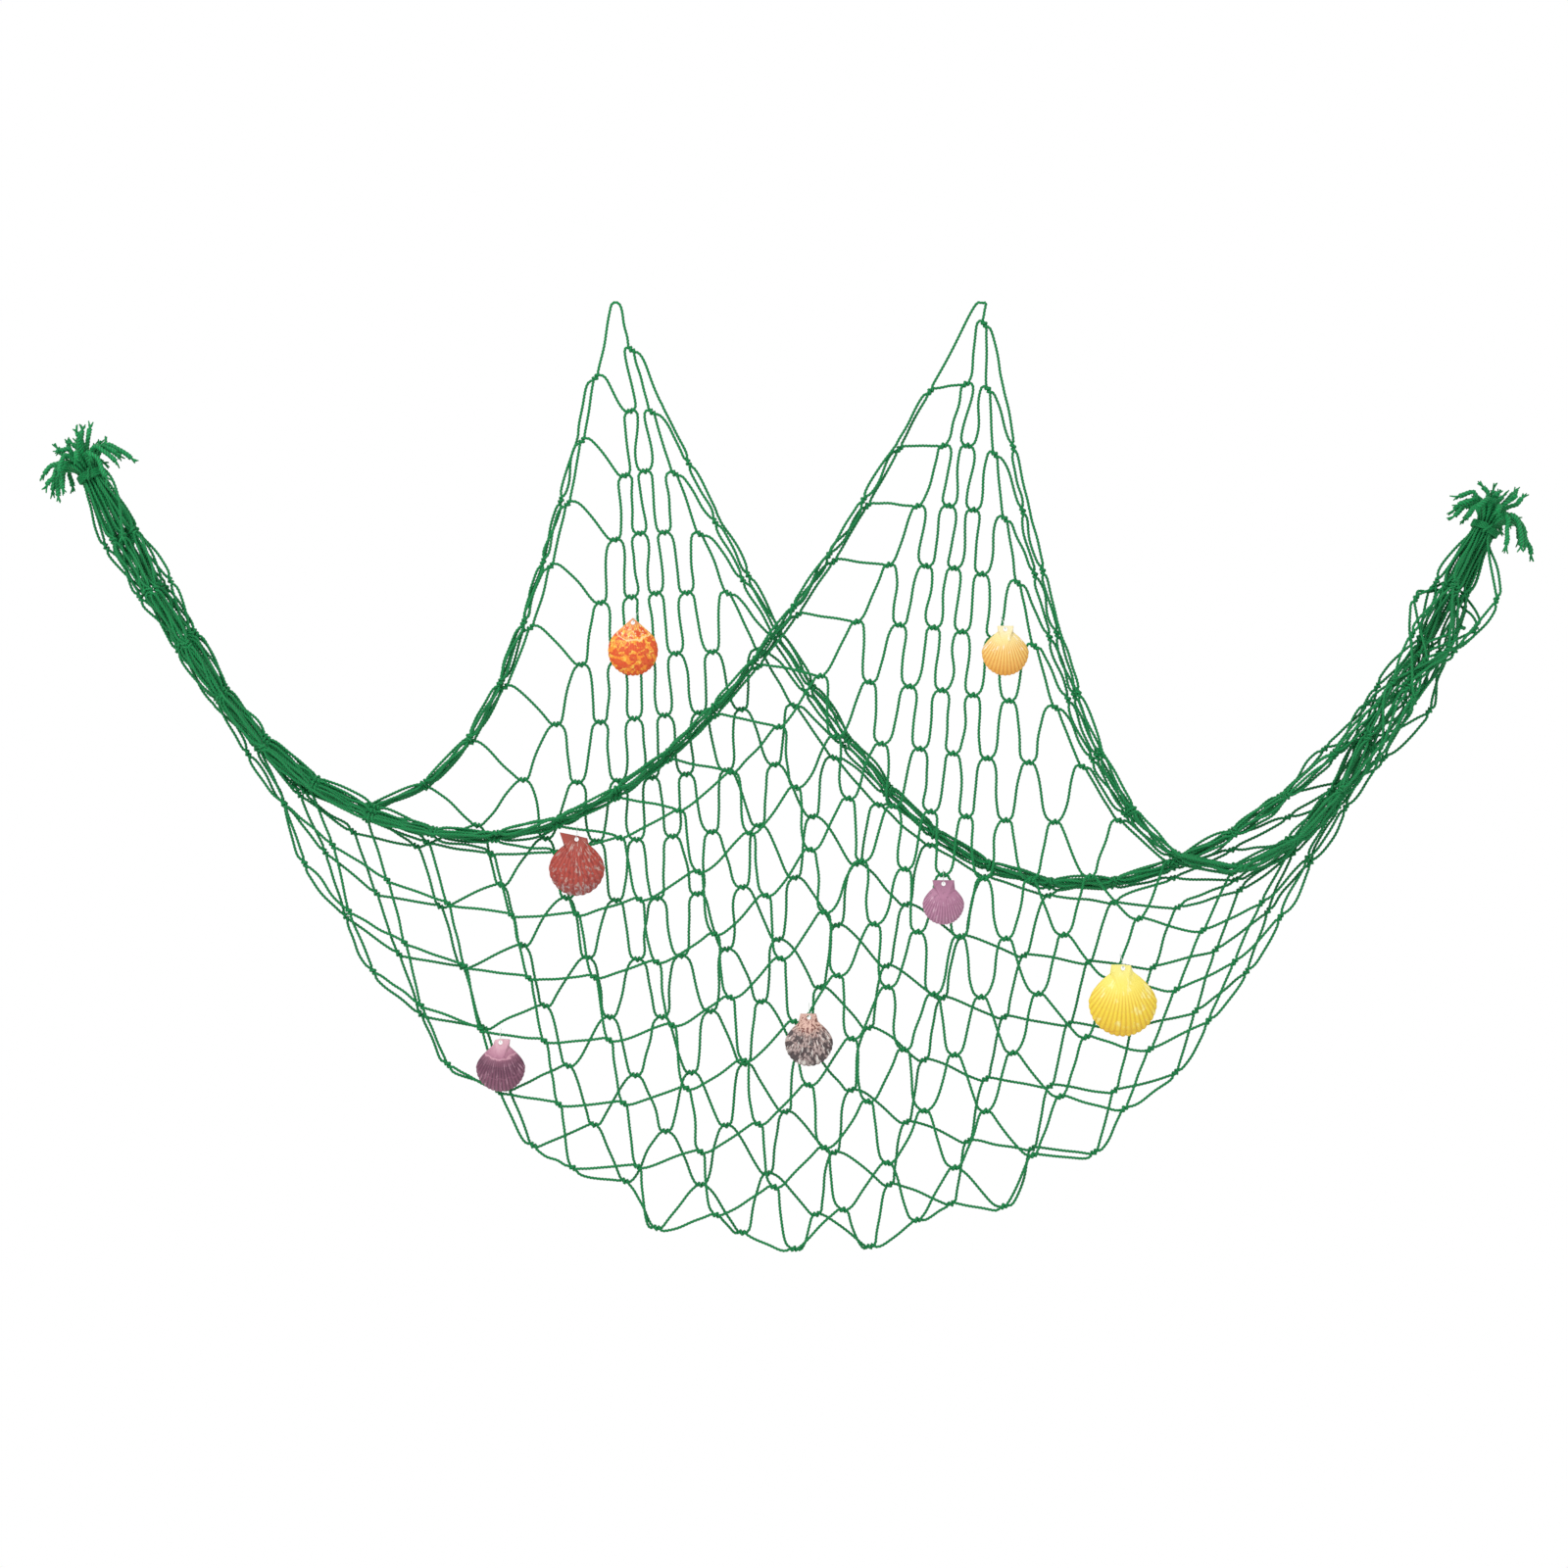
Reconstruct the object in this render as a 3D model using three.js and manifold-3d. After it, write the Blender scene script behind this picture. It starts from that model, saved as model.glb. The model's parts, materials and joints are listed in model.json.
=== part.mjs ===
// A decorative knotted fishing net that hangs on a wall, with scallop shells tied to it.
//
// The net is one long rectangle of diamond mesh. It is folded lengthwise into two layers, with the
// fold at the bottom. Each row of meshes is one twine, which zigzags from one gathered end to the
// other and is knotted to the rows above and below it. The net hangs from four points: a lashing
// round each gathered end, one selvage loop of the back layer and one of the front layer.
//
// Millimetres, +Z up. The wall is the plane y = 0 and the net hangs on its -Y side. The origin is
// on the wall, midway between the two peak loops and level with them.
import * as THREE from "three";
import { mergeVertices } from "three/addons/utils/BufferGeometryUtils.js";
import Module from "manifold-3d";

const manifold = await Module();
manifold.setup();

// ---- Driving dimensions ----

const MESH_BAR = 60; // one side of a mesh, from knot to knot
const TWINE = 2.6; // thickness
const TWINE_GAP = 0.8; // least clear space that the net keeps between two twines
const KNOT_WIDTH = 5; // along the row, from where a twine enters a knot to where it leaves
const ROWS = 34;
const BARS = 38; // mesh sides along one row, from lashing to lashing

const PEAK_SPACING = 346; // between the two hooks that hold the selvage loops
const LEFT_PEAK_BAR = 16; // bars from the left lashing to the back layer's hooked loop
const RIGHT_PEAK_BAR = 20; // bars from the left lashing to the front layer's hooked loop
const LEFT_LOOP_SLIP = 14; // how far the hooked loop has slid along its twine
const RIGHT_LOOP_SLIP = 38;
const HOOK_WIDTH = 7; // width of the bend over a hook

const TIE_SPREAD = 1310; // between the two lashings
const LEFT_TIE_OVERHANG = 492; // from the left lashing to the left peak
const LEFT_TIE_DROP = 164; // below the peaks
const RIGHT_TIE_DROP = 214;
const LEFT_TIE_TILT = 28; // degrees between a gathered end and the vertical
const RIGHT_TIE_TILT = 27;
const LASHING_LENGTH = 9;
const GATHER_LENGTH = 16; // how far the rows run straight and side by side, through the lashing

const BACK_LAYER_DEPTH = 9; // from the wall to the back layer's hook
const FRONT_LAYER_DEPTH = 21; // from the wall to the front layer's hook
const TIE_DEPTH = 26; // from the wall to the middle of a gathered end

const TWINE_SIDES = 3;
const MITRE_LIMIT = 0.88; // keeps the corner of a sharp bend from running out to a spike
const STRAIGHT_TURN = 0.26; // radians; a knot that turns its twine less than this counts as straight
const FIT_GAP = 0.3; // clear space between two pieces that lie against each other

const TASSEL_SHORTEST = 24;
const TASSEL_LONGEST = 44;
const TASSEL_LEAN = THREE.MathUtils.degToRad(95); // of the outermost cut ends, off the bundle's line
const TASSEL_FLATNESS_BEHIND = 0.25;
const TASSEL_FLATNESS_IN_FRONT = 0.8;
const LASHING_TURNS = 3;

// The loose tail of the left lashing: points along it, sideways and up from the lashing's middle and
// out from the wall.
const TAIL_ROUTE = [
  [9.3, -38.5, 4.9], [16, -45, 4], [24, -47, -6], [30, -47.5, -24], [32, -47, -42], [33, -46.5, -58],
];
const TAIL_STEPS = 14;
const TAIL_SIDES = 8;

const SHELL_THICKNESS = 1.6;
const SHELL_HOLE = 4;
const SHELL_HOLE_DROP = 4.8; // from the tip of the beak down to the middle of the hole
const SHELL_EAR_DROP = 2.5; // from the tip of the beak down to the top of the ears
const SHELL_CLEARANCE = 1.2; // between a shell's rim and the twines behind it
const SHELL_FACETS = 22;
const TIE_RADIUS = 4.2; // of each round end of a shell's tie
const TIE_WIRE = 0.4;
const TIE_FACETS = 12;
const TIE_DROP = 4.5; // from the twine down to the middle of the tie's lower end
const TIE_REACH = 7; // least distance from the twine forward to the shell
const TIE_LONGEST_REACH = 13;
const TIE_CLEARANCE = 0.12; // between a tie and the twines beside it
const TIE_LEANS = [0, 0.15, -0.15, 0.3, -0.3, 0.45, -0.45]; // radians, the straightest first
const TIE_SWING = 1.2; // radians that a tie can lift off the net

// Each shell: where its hole is wanted, the radius of its disc, how far its beak stands above the
// middle of the disc, the depth of its dome, how far its ears reach and its colour.
const SHELLS = {
  orange_shell: {
    x: -157, z: -305, radius: 23.5, beak: 31, dome: 8,
    leftEar: 0, rightEar: 0, color: 0xe8742a,
  },
  cream_shell: {
    x: 192, z: -316, radius: 22, beak: 26, dome: 8,
    leftEar: 8, rightEar: 8, color: 0xf3c667,
  },
  red_shell: {
    x: -214, z: -501, radius: 26, beak: 31.5, dome: 9,
    leftEar: 15, rightEar: 9, color: 0xb4553f,
  },
  mauve_shell: {
    x: 131, z: -548, radius: 19.5, beak: 23.5, dome: 7,
    leftEar: 10, rightEar: 10, color: 0xb0809c,
  },
  yellow_shell: {
    x: 296, z: -626, radius: 32, beak: 36.5, dome: 11,
    leftEar: 12, rightEar: 12, color: 0xf2cf3e,
  },
  plum_shell: {
    x: -284, z: -702, radius: 23, beak: 28, dome: 9,
    leftEar: 8, rightEar: 8, color: 0x84506a,
  },
  brown_shell: {
    x: 5, z: -678, radius: 22.5, beak: 28, dome: 8,
    leftEar: 11, rightEar: 9, color: 0x7b6560,
  },
};

const TO_WALL = new THREE.Vector3(0, 1, 0);
const SPACING = TWINE + TWINE_GAP; // between the middles of two twines that touch
const TWINE_CORNER = (SPACING - FIT_GAP) / 2; // from a twine's middle to a corner of its section

// ---- Gathered ends ----

// Spots in a round bundle, closely packed, in an order where each spot lies beside the one before.
function packedSpots(count) {
  const laneStep = (SPACING * Math.sqrt(3)) / 2;
  let spots = [];
  for (let radius = SPACING; spots.length < count; radius += SPACING / 10) {
    const lanes = Math.floor(radius / laneStep);
    spots = [];
    for (let lane = -lanes; lane <= lanes; lane++) {
      const across = lane * laneStep;
      const shift = lane % 2 ? 0.5 : 0;
      const reach = Math.sqrt(radius * radius - across * across);
      const row = [];
      for (let k = -Math.ceil(reach / SPACING); k * SPACING <= reach; k++) {
        const along = (k + shift) * SPACING;
        if (Math.abs(along) <= reach) row.push({ along, across });
      }
      if (lane % 2) row.reverse();
      spots.push(...row);
    }
  }
  return spots.slice(0, count);
}

// A gathered end: its middle, the way its tassel points and the spots that its rows pass through.
function gatheredEnd(x, z, side, tiltDegrees) {
  const tilt = THREE.MathUtils.degToRad(tiltDegrees);
  const outward = new THREE.Vector3(side * Math.sin(tilt), 0, Math.cos(tilt));
  const across = new THREE.Vector3(Math.cos(tilt), 0, -side * Math.sin(tilt));
  const middle = new THREE.Vector3(x, -TIE_DEPTH, z);
  const spots = packedSpots(ROWS);
  const at = (row, along) =>
    middle
      .clone()
      .addScaledVector(outward, along)
      .addScaledVector(across, spots[row].along)
      .addScaledVector(TO_WALL, -spots[row].across);
  return { middle, outward, across, spots, at };
}

const leftTieX = -PEAK_SPACING / 2 - LEFT_TIE_OVERHANG;
const leftEnd = gatheredEnd(leftTieX, -LEFT_TIE_DROP, -1, LEFT_TIE_TILT);
const rightEnd = gatheredEnd(leftTieX + TIE_SPREAD, -RIGHT_TIE_DROP, 1, RIGHT_TIE_TILT);

// ---- The hanging net ----

// A row has two points at every station along it, where its twine enters and leaves a knot.
const pointIndex = (row, station, side) => (row * (BARS + 1) + station) * 2 + side;
// At a station, a row is either knotted to the row above it or to the row below it.
const bendsUp = (row, station) => (row + station) % 2 === 0;

// The flat net before it hangs: two upright layers, joined by the fold.
function spreadPoint(row, station, side) {
  const fold = ROWS / 2;
  const level = bendsUp(row, station) ? row : row + 1;
  const share = station / BARS;
  const bayWidth = TIE_SPREAD / BARS;
  const levelHeight = Math.sqrt(MESH_BAR ** 2 - bayWidth ** 2);
  const layerSign = THREE.MathUtils.clamp((level - fold) * 2, -1, 1);
  const offset = bendsUp(row, station) ? 1 : -1;
  const depth = (BACK_LAYER_DEPTH + FRONT_LAYER_DEPTH) / 2 + layerSign * 6;
  const ripple = Math.sin(level * 2.3 + station * 1.7);
  return new THREE.Vector3(
    leftTieX + TIE_SPREAD * share + (side - 0.5) * KNOT_WIDTH,
    -depth - ripple - (layerSign === 0 ? (offset * SPACING) / 2 : 0),
    -levelHeight * (fold - Math.abs(level - fold)) + layerSign * offset * (SPACING / 2),
  );
}

// The two hooked loops: which row, at which station, and where its hook is.
const hooks = [
  {
    row: 0,
    station: LEFT_PEAK_BAR,
    slip: LEFT_LOOP_SLIP,
    place: new THREE.Vector3(-PEAK_SPACING / 2, -BACK_LAYER_DEPTH, 0),
  },
  {
    row: ROWS - 1,
    station: RIGHT_PEAK_BAR,
    slip: RIGHT_LOOP_SLIP,
    place: new THREE.Vector3(PEAK_SPACING / 2, -FRONT_LAYER_DEPTH, 0),
  },
];

// Where a point is held, or null where the net hangs free.
function heldPlace(row, station, side) {
  const inward = (side - 0.5) * GATHER_LENGTH;
  if (station === 0) return leftEnd.at(row, -inward);
  if (station === BARS) return rightEnd.at(row, inward);
  const hook = hooks.find((h) => h.row === row && h.station === station);
  if (!hook) return null;
  return hook.place.clone().setX(hook.place.x + (side - 0.5) * HOOK_WIDTH);
}

// The length of twine from this station's knot to the next one's.
function barLength(row, station) {
  let length = MESH_BAR - KNOT_WIDTH;
  for (const hook of hooks.filter((h) => h.row === row)) {
    if (station === hook.station - 1) length += hook.slip;
    if (station === hook.station) length -= hook.slip;
  }
  return length;
}

// Closest approach of two straight twines, as shares along each and the vector between them.
const near = { s: 0, t: 0, x: 0, y: 0, z: 0, distance: 0 };
function closestApproach(p, a, b, c, d) {
  const ux = p[b] - p[a];
  const uy = p[b + 1] - p[a + 1];
  const uz = p[b + 2] - p[a + 2];
  const vx = p[d] - p[c];
  const vy = p[d + 1] - p[c + 1];
  const vz = p[d + 2] - p[c + 2];
  const wx = p[a] - p[c];
  const wy = p[a + 1] - p[c + 1];
  const wz = p[a + 2] - p[c + 2];
  const uu = ux * ux + uy * uy + uz * uz + 1e-9;
  const vv = vx * vx + vy * vy + vz * vz + 1e-9;
  const uv = ux * vx + uy * vy + uz * vz;
  const uw = ux * wx + uy * wy + uz * wz;
  const vw = vx * wx + vy * wy + vz * wz;
  const spread = uu * vv - uv * uv;
  let s = spread > 1e-6 * uu * vv ? (uv * vw - vv * uw) / spread : 0.5;
  s = s < 0 ? 0 : s > 1 ? 1 : s;
  let t = (uv * s + vw) / vv;
  t = t < 0 ? 0 : t > 1 ? 1 : t;
  s = (uv * t - uw) / uu;
  s = s < 0 ? 0 : s > 1 ? 1 : s;
  near.s = s;
  near.t = t;
  near.x = wx + s * ux - t * vx;
  near.y = wy + s * uy - t * vy;
  near.z = wz + s * uz - t * vz;
  near.distance = Math.sqrt(near.x * near.x + near.y * near.y + near.z * near.z);
}

// Lets the net hang: gravity pulls it down, its bars can't stretch, its knots keep their shape and
// no two twines come closer than SPACING. The ends and loops are drawn to where they are held.
function hangNet() {
  const STEPS = 3600;
  const GATHER_STEPS = 1500;
  const FALL = 0.012; // gained by each free point in one step
  const SETTLE_FALL = 0.002; // the same in the last steps, when the net comes to rest
  const PARTING_STEPS = 400; // the last steps, which only clear what is left of any crowding
  const PARTING_PASSES = 4;
  const PARTING_FIRMNESS = 0.25; // a bar may stretch a little in these steps
  const DAMPING = 0.985;
  const KNOT_BRACE = SPACING;

  const count = ROWS * (BARS + 1) * 2;
  const p = new Float64Array(count * 3);
  const before = new Float64Array(count * 3);
  const start = new Float64Array(count * 3);
  const held = [];
  const free = new Uint8Array(count).fill(1);
  const ties = []; // pairs of points with the least and most that they may be apart
  const twines = []; // straight stretches, each with its row and its order in the row

  for (let row = 0; row < ROWS; row++) {
    for (let station = 0; station <= BARS; station++) {
      for (let side = 0; side < 2; side++) {
        const i = pointIndex(row, station, side);
        spreadPoint(row, station, side).toArray(start, i * 3);
        const place = heldPlace(row, station, side);
        if (place) held.push({ i, place });
        if (place) free[i] = 0;
      }
      const a = pointIndex(row, station, 0);
      const b = a + 1;
      twines.push({ a, b, row, order: station * 2 });
      if (free[a]) ties.push({ a, b, least: KNOT_WIDTH, most: KNOT_WIDTH });
      if (station < BARS) {
        const next = pointIndex(row, station + 1, 0);
        const most = barLength(row, station);
        twines.push({ a: b, b: next, row, order: station * 2 + 1 });
        ties.push({ a: b, b: next, least: 0, most });
      }
      const knotted = row > 0 && station > 0 && station < BARS && bendsUp(row, station);
      if (!knotted) continue;
      const c = pointIndex(row - 1, station, 0);
      const diagonal = Math.hypot(KNOT_WIDTH, KNOT_BRACE);
      ties.push({ a, b: c, least: KNOT_BRACE, most: KNOT_BRACE });
      ties.push({ a: b, b: c + 1, least: KNOT_BRACE, most: KNOT_BRACE });
      ties.push({ a, b: c + 1, least: diagonal, most: diagonal });
      ties.push({ a: b, b: c, least: diagonal, most: diagonal });
    }
  }
  p.set(start);
  before.set(start);

  const tieA = Int32Array.from(ties, (tie) => tie.a * 3);
  const tieB = Int32Array.from(ties, (tie) => tie.b * 3);
  const least = Float64Array.from(ties, (tie) => tie.least);
  const most = Float64Array.from(ties, (tie) => tie.most);

  function holdTies(firmness) {
    for (let k = 0; k < tieA.length; k++) {
      const a = tieA[k];
      const b = tieB[k];
      const dx = p[b] - p[a];
      const dy = p[b + 1] - p[a + 1];
      const dz = p[b + 2] - p[a + 2];
      const length = Math.sqrt(dx * dx + dy * dy + dz * dz) + 1e-9;
      const over = length > most[k] ? length - most[k] : length < least[k] ? length - least[k] : 0;
      if (over === 0) continue;
      const wa = free[a / 3];
      const wb = free[b / 3];
      if (wa + wb === 0) continue;
      const pull = (over / length / (wa + wb)) * firmness;
      p[a] += dx * pull * wa;
      p[a + 1] += dy * pull * wa;
      p[a + 2] += dz * pull * wa;
      p[b] -= dx * pull * wb;
      p[b + 1] -= dy * pull * wb;
      p[b + 2] -= dz * pull * wb;
    }
  }

  // Pairs of twines near enough to meet before the list is made again.
  const REACH = 7;
  let pairs = [];
  const listedAt = new Float64Array(count * 3);
  function listPairs() {
    const boxes = twines.map((twine) => {
      const a = twine.a * 3;
      const b = twine.b * 3;
      const low = [0, 1, 2].map((k) => Math.min(p[a + k], p[b + k]) - REACH / 2);
      const high = [0, 1, 2].map((k) => Math.max(p[a + k], p[b + k]) + REACH / 2);
      return { twine, a, b, low, high };
    });
    boxes.sort((one, other) => one.low[0] - other.low[0]);
    pairs = [];
    for (let i = 0; i < boxes.length; i++) {
      const one = boxes[i];
      for (let j = i + 1; j < boxes.length && boxes[j].low[0] < one.high[0]; j++) {
        const other = boxes[j];
        if (other.low[2] > one.high[2] || other.high[2] < one.low[2]) continue;
        if (other.low[1] > one.high[1] || other.high[1] < one.low[1]) continue;
        const sameRow = one.twine.row === other.twine.row;
        if (sameRow && Math.abs(one.twine.order - other.twine.order) < 2) continue;
        closestApproach(p, one.a, one.b, other.a, other.b);
        if (near.distance < REACH) pairs.push(one.a, one.b, other.a, other.b);
      }
    }
    pairs = Int32Array.from(pairs);
    listedAt.set(p);
  }
  function furthestMove() {
    let furthest = 0;
    for (let k = 0; k < p.length; k++) furthest = Math.max(furthest, Math.abs(p[k] - listedAt[k]));
    return furthest;
  }

  function partTwines() {
    for (let k = 0; k < pairs.length; k += 4) {
      const a = pairs[k];
      const b = pairs[k + 1];
      const c = pairs[k + 2];
      const d = pairs[k + 3];
      closestApproach(p, a, b, c, d);
      if (near.distance >= SPACING) continue;
      const { s, t } = near;
      const wa = (1 - s) * free[a / 3];
      const wb = s * free[b / 3];
      const wc = (1 - t) * free[c / 3];
      const wd = t * free[d / 3];
      const weight = wa * (1 - s) + wb * s + wc * (1 - t) + wd * t;
      if (weight < 1e-6) continue;
      const push = (SPACING - near.distance) / (near.distance + 1e-9) / weight;
      const x = near.x * push;
      const y = near.y * push;
      const z = near.z * push;
      p[a] += x * wa;
      p[a + 1] += y * wa;
      p[a + 2] += z * wa;
      p[b] += x * wb;
      p[b + 1] += y * wb;
      p[b + 2] += z * wb;
      p[c] -= x * wc;
      p[c + 1] -= y * wc;
      p[c + 2] -= z * wc;
      p[d] -= x * wd;
      p[d + 1] -= y * wd;
      p[d + 2] -= z * wd;
    }
  }

  const inFront = -TWINE / 2 - TWINE_GAP / 2;
  for (let step = 0; step < STEPS; step++) {
    const share = THREE.MathUtils.smootherstep(step / GATHER_STEPS, 0, 1);
    for (const { i, place } of held) {
      p[i * 3] = THREE.MathUtils.lerp(start[i * 3], place.x, share);
      p[i * 3 + 1] = THREE.MathUtils.lerp(start[i * 3 + 1], place.y, share);
      p[i * 3 + 2] = THREE.MathUtils.lerp(start[i * 3 + 2], place.z, share);
    }
    const settling = step > STEPS * 0.75;
    const parting = step > STEPS - PARTING_STEPS;
    const fall = settling ? SETTLE_FALL : FALL;
    for (let i = 0; i < count && !parting; i++) {
      if (!free[i]) continue;
      for (let k = i * 3; k < i * 3 + 3; k++) {
        const speed = (p[k] - before[k]) * DAMPING;
        before[k] = p[k];
        p[k] += THREE.MathUtils.clamp(speed, -1.2, 1.2);
      }
      p[i * 3 + 2] -= fall;
    }
    if (step % 40 === 0 || furthestMove() > (REACH - SPACING) / 2) listPairs();
    holdTies(parting ? PARTING_FIRMNESS : 1);
    for (let pass = 0; pass < (parting ? PARTING_PASSES : 1); pass++) partTwines();
    for (let i = 0; i < count; i++) p[i * 3 + 1] = Math.min(p[i * 3 + 1], inFront);
  }

  const rows = [];
  for (let row = 0; row < ROWS; row++) {
    const points = [];
    for (let k = pointIndex(row, 0, 0); k <= pointIndex(row, BARS, 1); k++) {
      points.push(new THREE.Vector3().fromArray(p, k * 3));
    }
    rows.push(points);
  }
  return rows;
}

const netRows = hangNet();

// ---- Solids ----

// A closed mesh's geometry as a manifold solid.
function solidOf(geometry) {
  const bare = new THREE.BufferGeometry();
  bare.setAttribute("position", geometry.getAttribute("position"));
  if (geometry.index) bare.setIndex(geometry.index);
  const merged = mergeVertices(bare, 1e-4);
  const mesh = new manifold.Mesh({
    numProp: 3,
    vertProperties: merged.attributes.position.array,
    triVerts: new Uint32Array(merged.index.array),
  });
  return new manifold.Manifold(mesh);
}

function geometryOf(solid) {
  const mesh = solid.getMesh();
  const geometry = new THREE.BufferGeometry();
  geometry.setAttribute("position", new THREE.BufferAttribute(mesh.vertProperties, 3));
  geometry.setIndex(new THREE.BufferAttribute(mesh.triVerts, 1));
  geometry.computeVertexNormals();
  return geometry;
}

// Moves every vertex of a geometry by a function of its place.
function reshape(geometry, move) {
  const place = geometry.getAttribute("position");
  const point = new THREE.Vector3();
  for (let i = 0; i < place.count; i++) {
    move(point.fromBufferAttribute(place, i));
    place.setXYZ(i, point.x, point.y, point.z);
  }
  geometry.computeVertexNormals();
  return geometry;
}

// A tube of a few flat sides along a route of straight stretches. It is a unit tube whose rings are
// laid in the mitre planes of the route, so that each stretch is a true prism.
function tube(route, radius, sides) {
  const geometry = new THREE.CylinderGeometry(1, 1, 1, sides, route.length - 1);
  const rings = [];
  const normal = new THREE.Vector3(0, -1, 0);
  for (let k = 0; k < route.length; k++) {
    const into = route[k].clone().sub(route[Math.max(k - 1, 0)]).normalize();
    const out = route[Math.min(k + 1, route.length - 1)].clone().sub(route[k]).normalize();
    if (k === 0) into.copy(out);
    if (k === route.length - 1) out.copy(into);
    const along = into.clone().add(out).normalize();
    normal.addScaledVector(into, -normal.dot(into)).normalize();
    const side = into.clone().cross(normal);
    const stretch = Math.max(into.dot(along), MITRE_LIMIT);
    rings.push({ place: route[k], into, along, normal: normal.clone(), side, stretch });
    // The section keeps its turn about the route as the route bends.
    const bend = new THREE.Quaternion().setFromUnitVectors(into, out);
    normal.applyQuaternion(bend);
  }
  return reshape(geometry, (point) => {
    const ring = rings[Math.round((0.5 - point.y) * (route.length - 1))];
    const offset = ring.normal.clone().multiplyScalar(point.x);
    offset.addScaledVector(ring.side, point.z).multiplyScalar(radius);
    // Slides the corner along its stretch to the mitre plane.
    offset.addScaledVector(ring.into, -offset.dot(ring.along) / ring.stretch);
    point.copy(ring.place).add(offset);
  });
}

// ---- Row twines ----

// Where a twine passes almost straight through a knot, one bend in its route stands for two.
function simplerRoute(points) {
  const turn = (k) => {
    const into = points[k].clone().sub(points[k - 1]);
    return into.angleTo(points[k + 1].clone().sub(points[k]));
  };
  const route = [points[0], points[1]];
  for (let k = 2; k < points.length - 2; k += 2) {
    const straight = turn(k) < STRAIGHT_TURN && turn(k + 1) < STRAIGHT_TURN;
    if (straight) route.push(points[k].clone().lerp(points[k + 1], 0.5));
    else route.push(points[k], points[k + 1]);
  }
  route.push(points[points.length - 2], points[points.length - 1]);
  return route;
}

// The cut end of a row: past the lashing it bends outwards, further the nearer it is to the outside.
function tasselEnd(end, row) {
  const spot = end.spots[row];
  const reach = Math.max(...end.spots.map((s) => Math.hypot(s.along, s.across)));
  const lean = (Math.hypot(spot.along, spot.across) / reach) * TASSEL_LEAN;
  const aside = end.across.clone().multiplyScalar(spot.along);
  aside.addScaledVector(TO_WALL, -spot.across);
  if (aside.length() > 0) aside.normalize();
  aside.y *= aside.y > 0 ? TASSEL_FLATNESS_BEHIND : TASSEL_FLATNESS_IN_FRONT;
  const heading = (angle) =>
    end.outward.clone().multiplyScalar(Math.cos(angle)).addScaledVector(aside, Math.sin(angle));
  const shareOfRange = (row * 0.618) % 1;
  const length = TASSEL_SHORTEST + shareOfRange * (TASSEL_LONGEST - TASSEL_SHORTEST);
  const knee = end.at(row, GATHER_LENGTH / 2).addScaledVector(heading(lean / 2), length * 0.4);
  const tip = knee.clone().addScaledVector(heading(lean), length * 0.6);
  return [knee, tip];
}

function rowTwine(points, row) {
  const [leftKnee, leftTip] = tasselEnd(leftEnd, row);
  const [rightKnee, rightTip] = tasselEnd(rightEnd, row);
  const route = [leftTip, leftKnee, ...simplerRoute(points), rightKnee, rightTip];
  return tube(route, TWINE_CORNER, TWINE_SIDES);
}

// ---- Lashings ----

// Turns of twine laid side by side round a gathered end.
function lashing(end) {
  const reach = Math.max(...end.spots.map((s) => Math.hypot(s.along, s.across)));
  const inside = reach + TWINE_CORNER + FIT_GAP;
  const turnWidth = LASHING_LENGTH / LASHING_TURNS;
  const low = -LASHING_LENGTH / 2;
  const profile = [new THREE.Vector2(inside, low)];
  for (let turn = 0; turn < LASHING_TURNS; turn++) {
    const middle = low + (turn + 0.5) * turnWidth;
    profile.push(new THREE.Vector2(inside + turnWidth * 0.7, middle - turnWidth * 0.45));
    profile.push(new THREE.Vector2(inside + turnWidth, middle));
    profile.push(new THREE.Vector2(inside + turnWidth * 0.7, middle + turnWidth * 0.45));
  }
  profile.push(new THREE.Vector2(inside, -low), new THREE.Vector2(inside, low));
  return new THREE.LatheGeometry(profile, 16);
}

// The end of the lashing's own twine, which arches forward and hangs down.
function looseTail(end) {
  const section = new THREE.Shape();
  for (let k = 0; k < TAIL_SIDES; k++) {
    const turn = (k / TAIL_SIDES) * 2 * Math.PI;
    const corner = [Math.cos(turn) * (TWINE / 2), Math.sin(turn) * (TWINE / 2)];
    if (k === 0) section.moveTo(...corner);
    else section.lineTo(...corner);
  }
  const places = TAIL_ROUTE.map(([x, y, z]) => new THREE.Vector3(end.middle.x + x, y, end.middle.z + z));
  const extrudePath = new THREE.CatmullRomCurve3(places, false, "centripetal");
  return new THREE.ExtrudeGeometry(section, { steps: TAIL_STEPS, extrudePath });
}

// ---- Scallop shells ----

// The outline's distance from the middle of the disc, at an angle from straight up.
function scallopRim({ radius, beak, leftEar, rightEar }, angle) {
  const shoulder = Math.acos(radius / beak);
  const away = Math.abs(angle);
  const disc = away < shoulder ? radius / Math.cos(shoulder - away) : radius;
  const ear = angle < 0 ? leftEar : rightEar;
  if (ear === 0 || away > 1.2) return disc;
  const earTop = (beak - SHELL_EAR_DROP) / Math.cos(away);
  const earSide = away > 0 ? ear / Math.sin(away) : Infinity;
  return Math.max(disc, Math.min(earTop, earSide));
}

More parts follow.
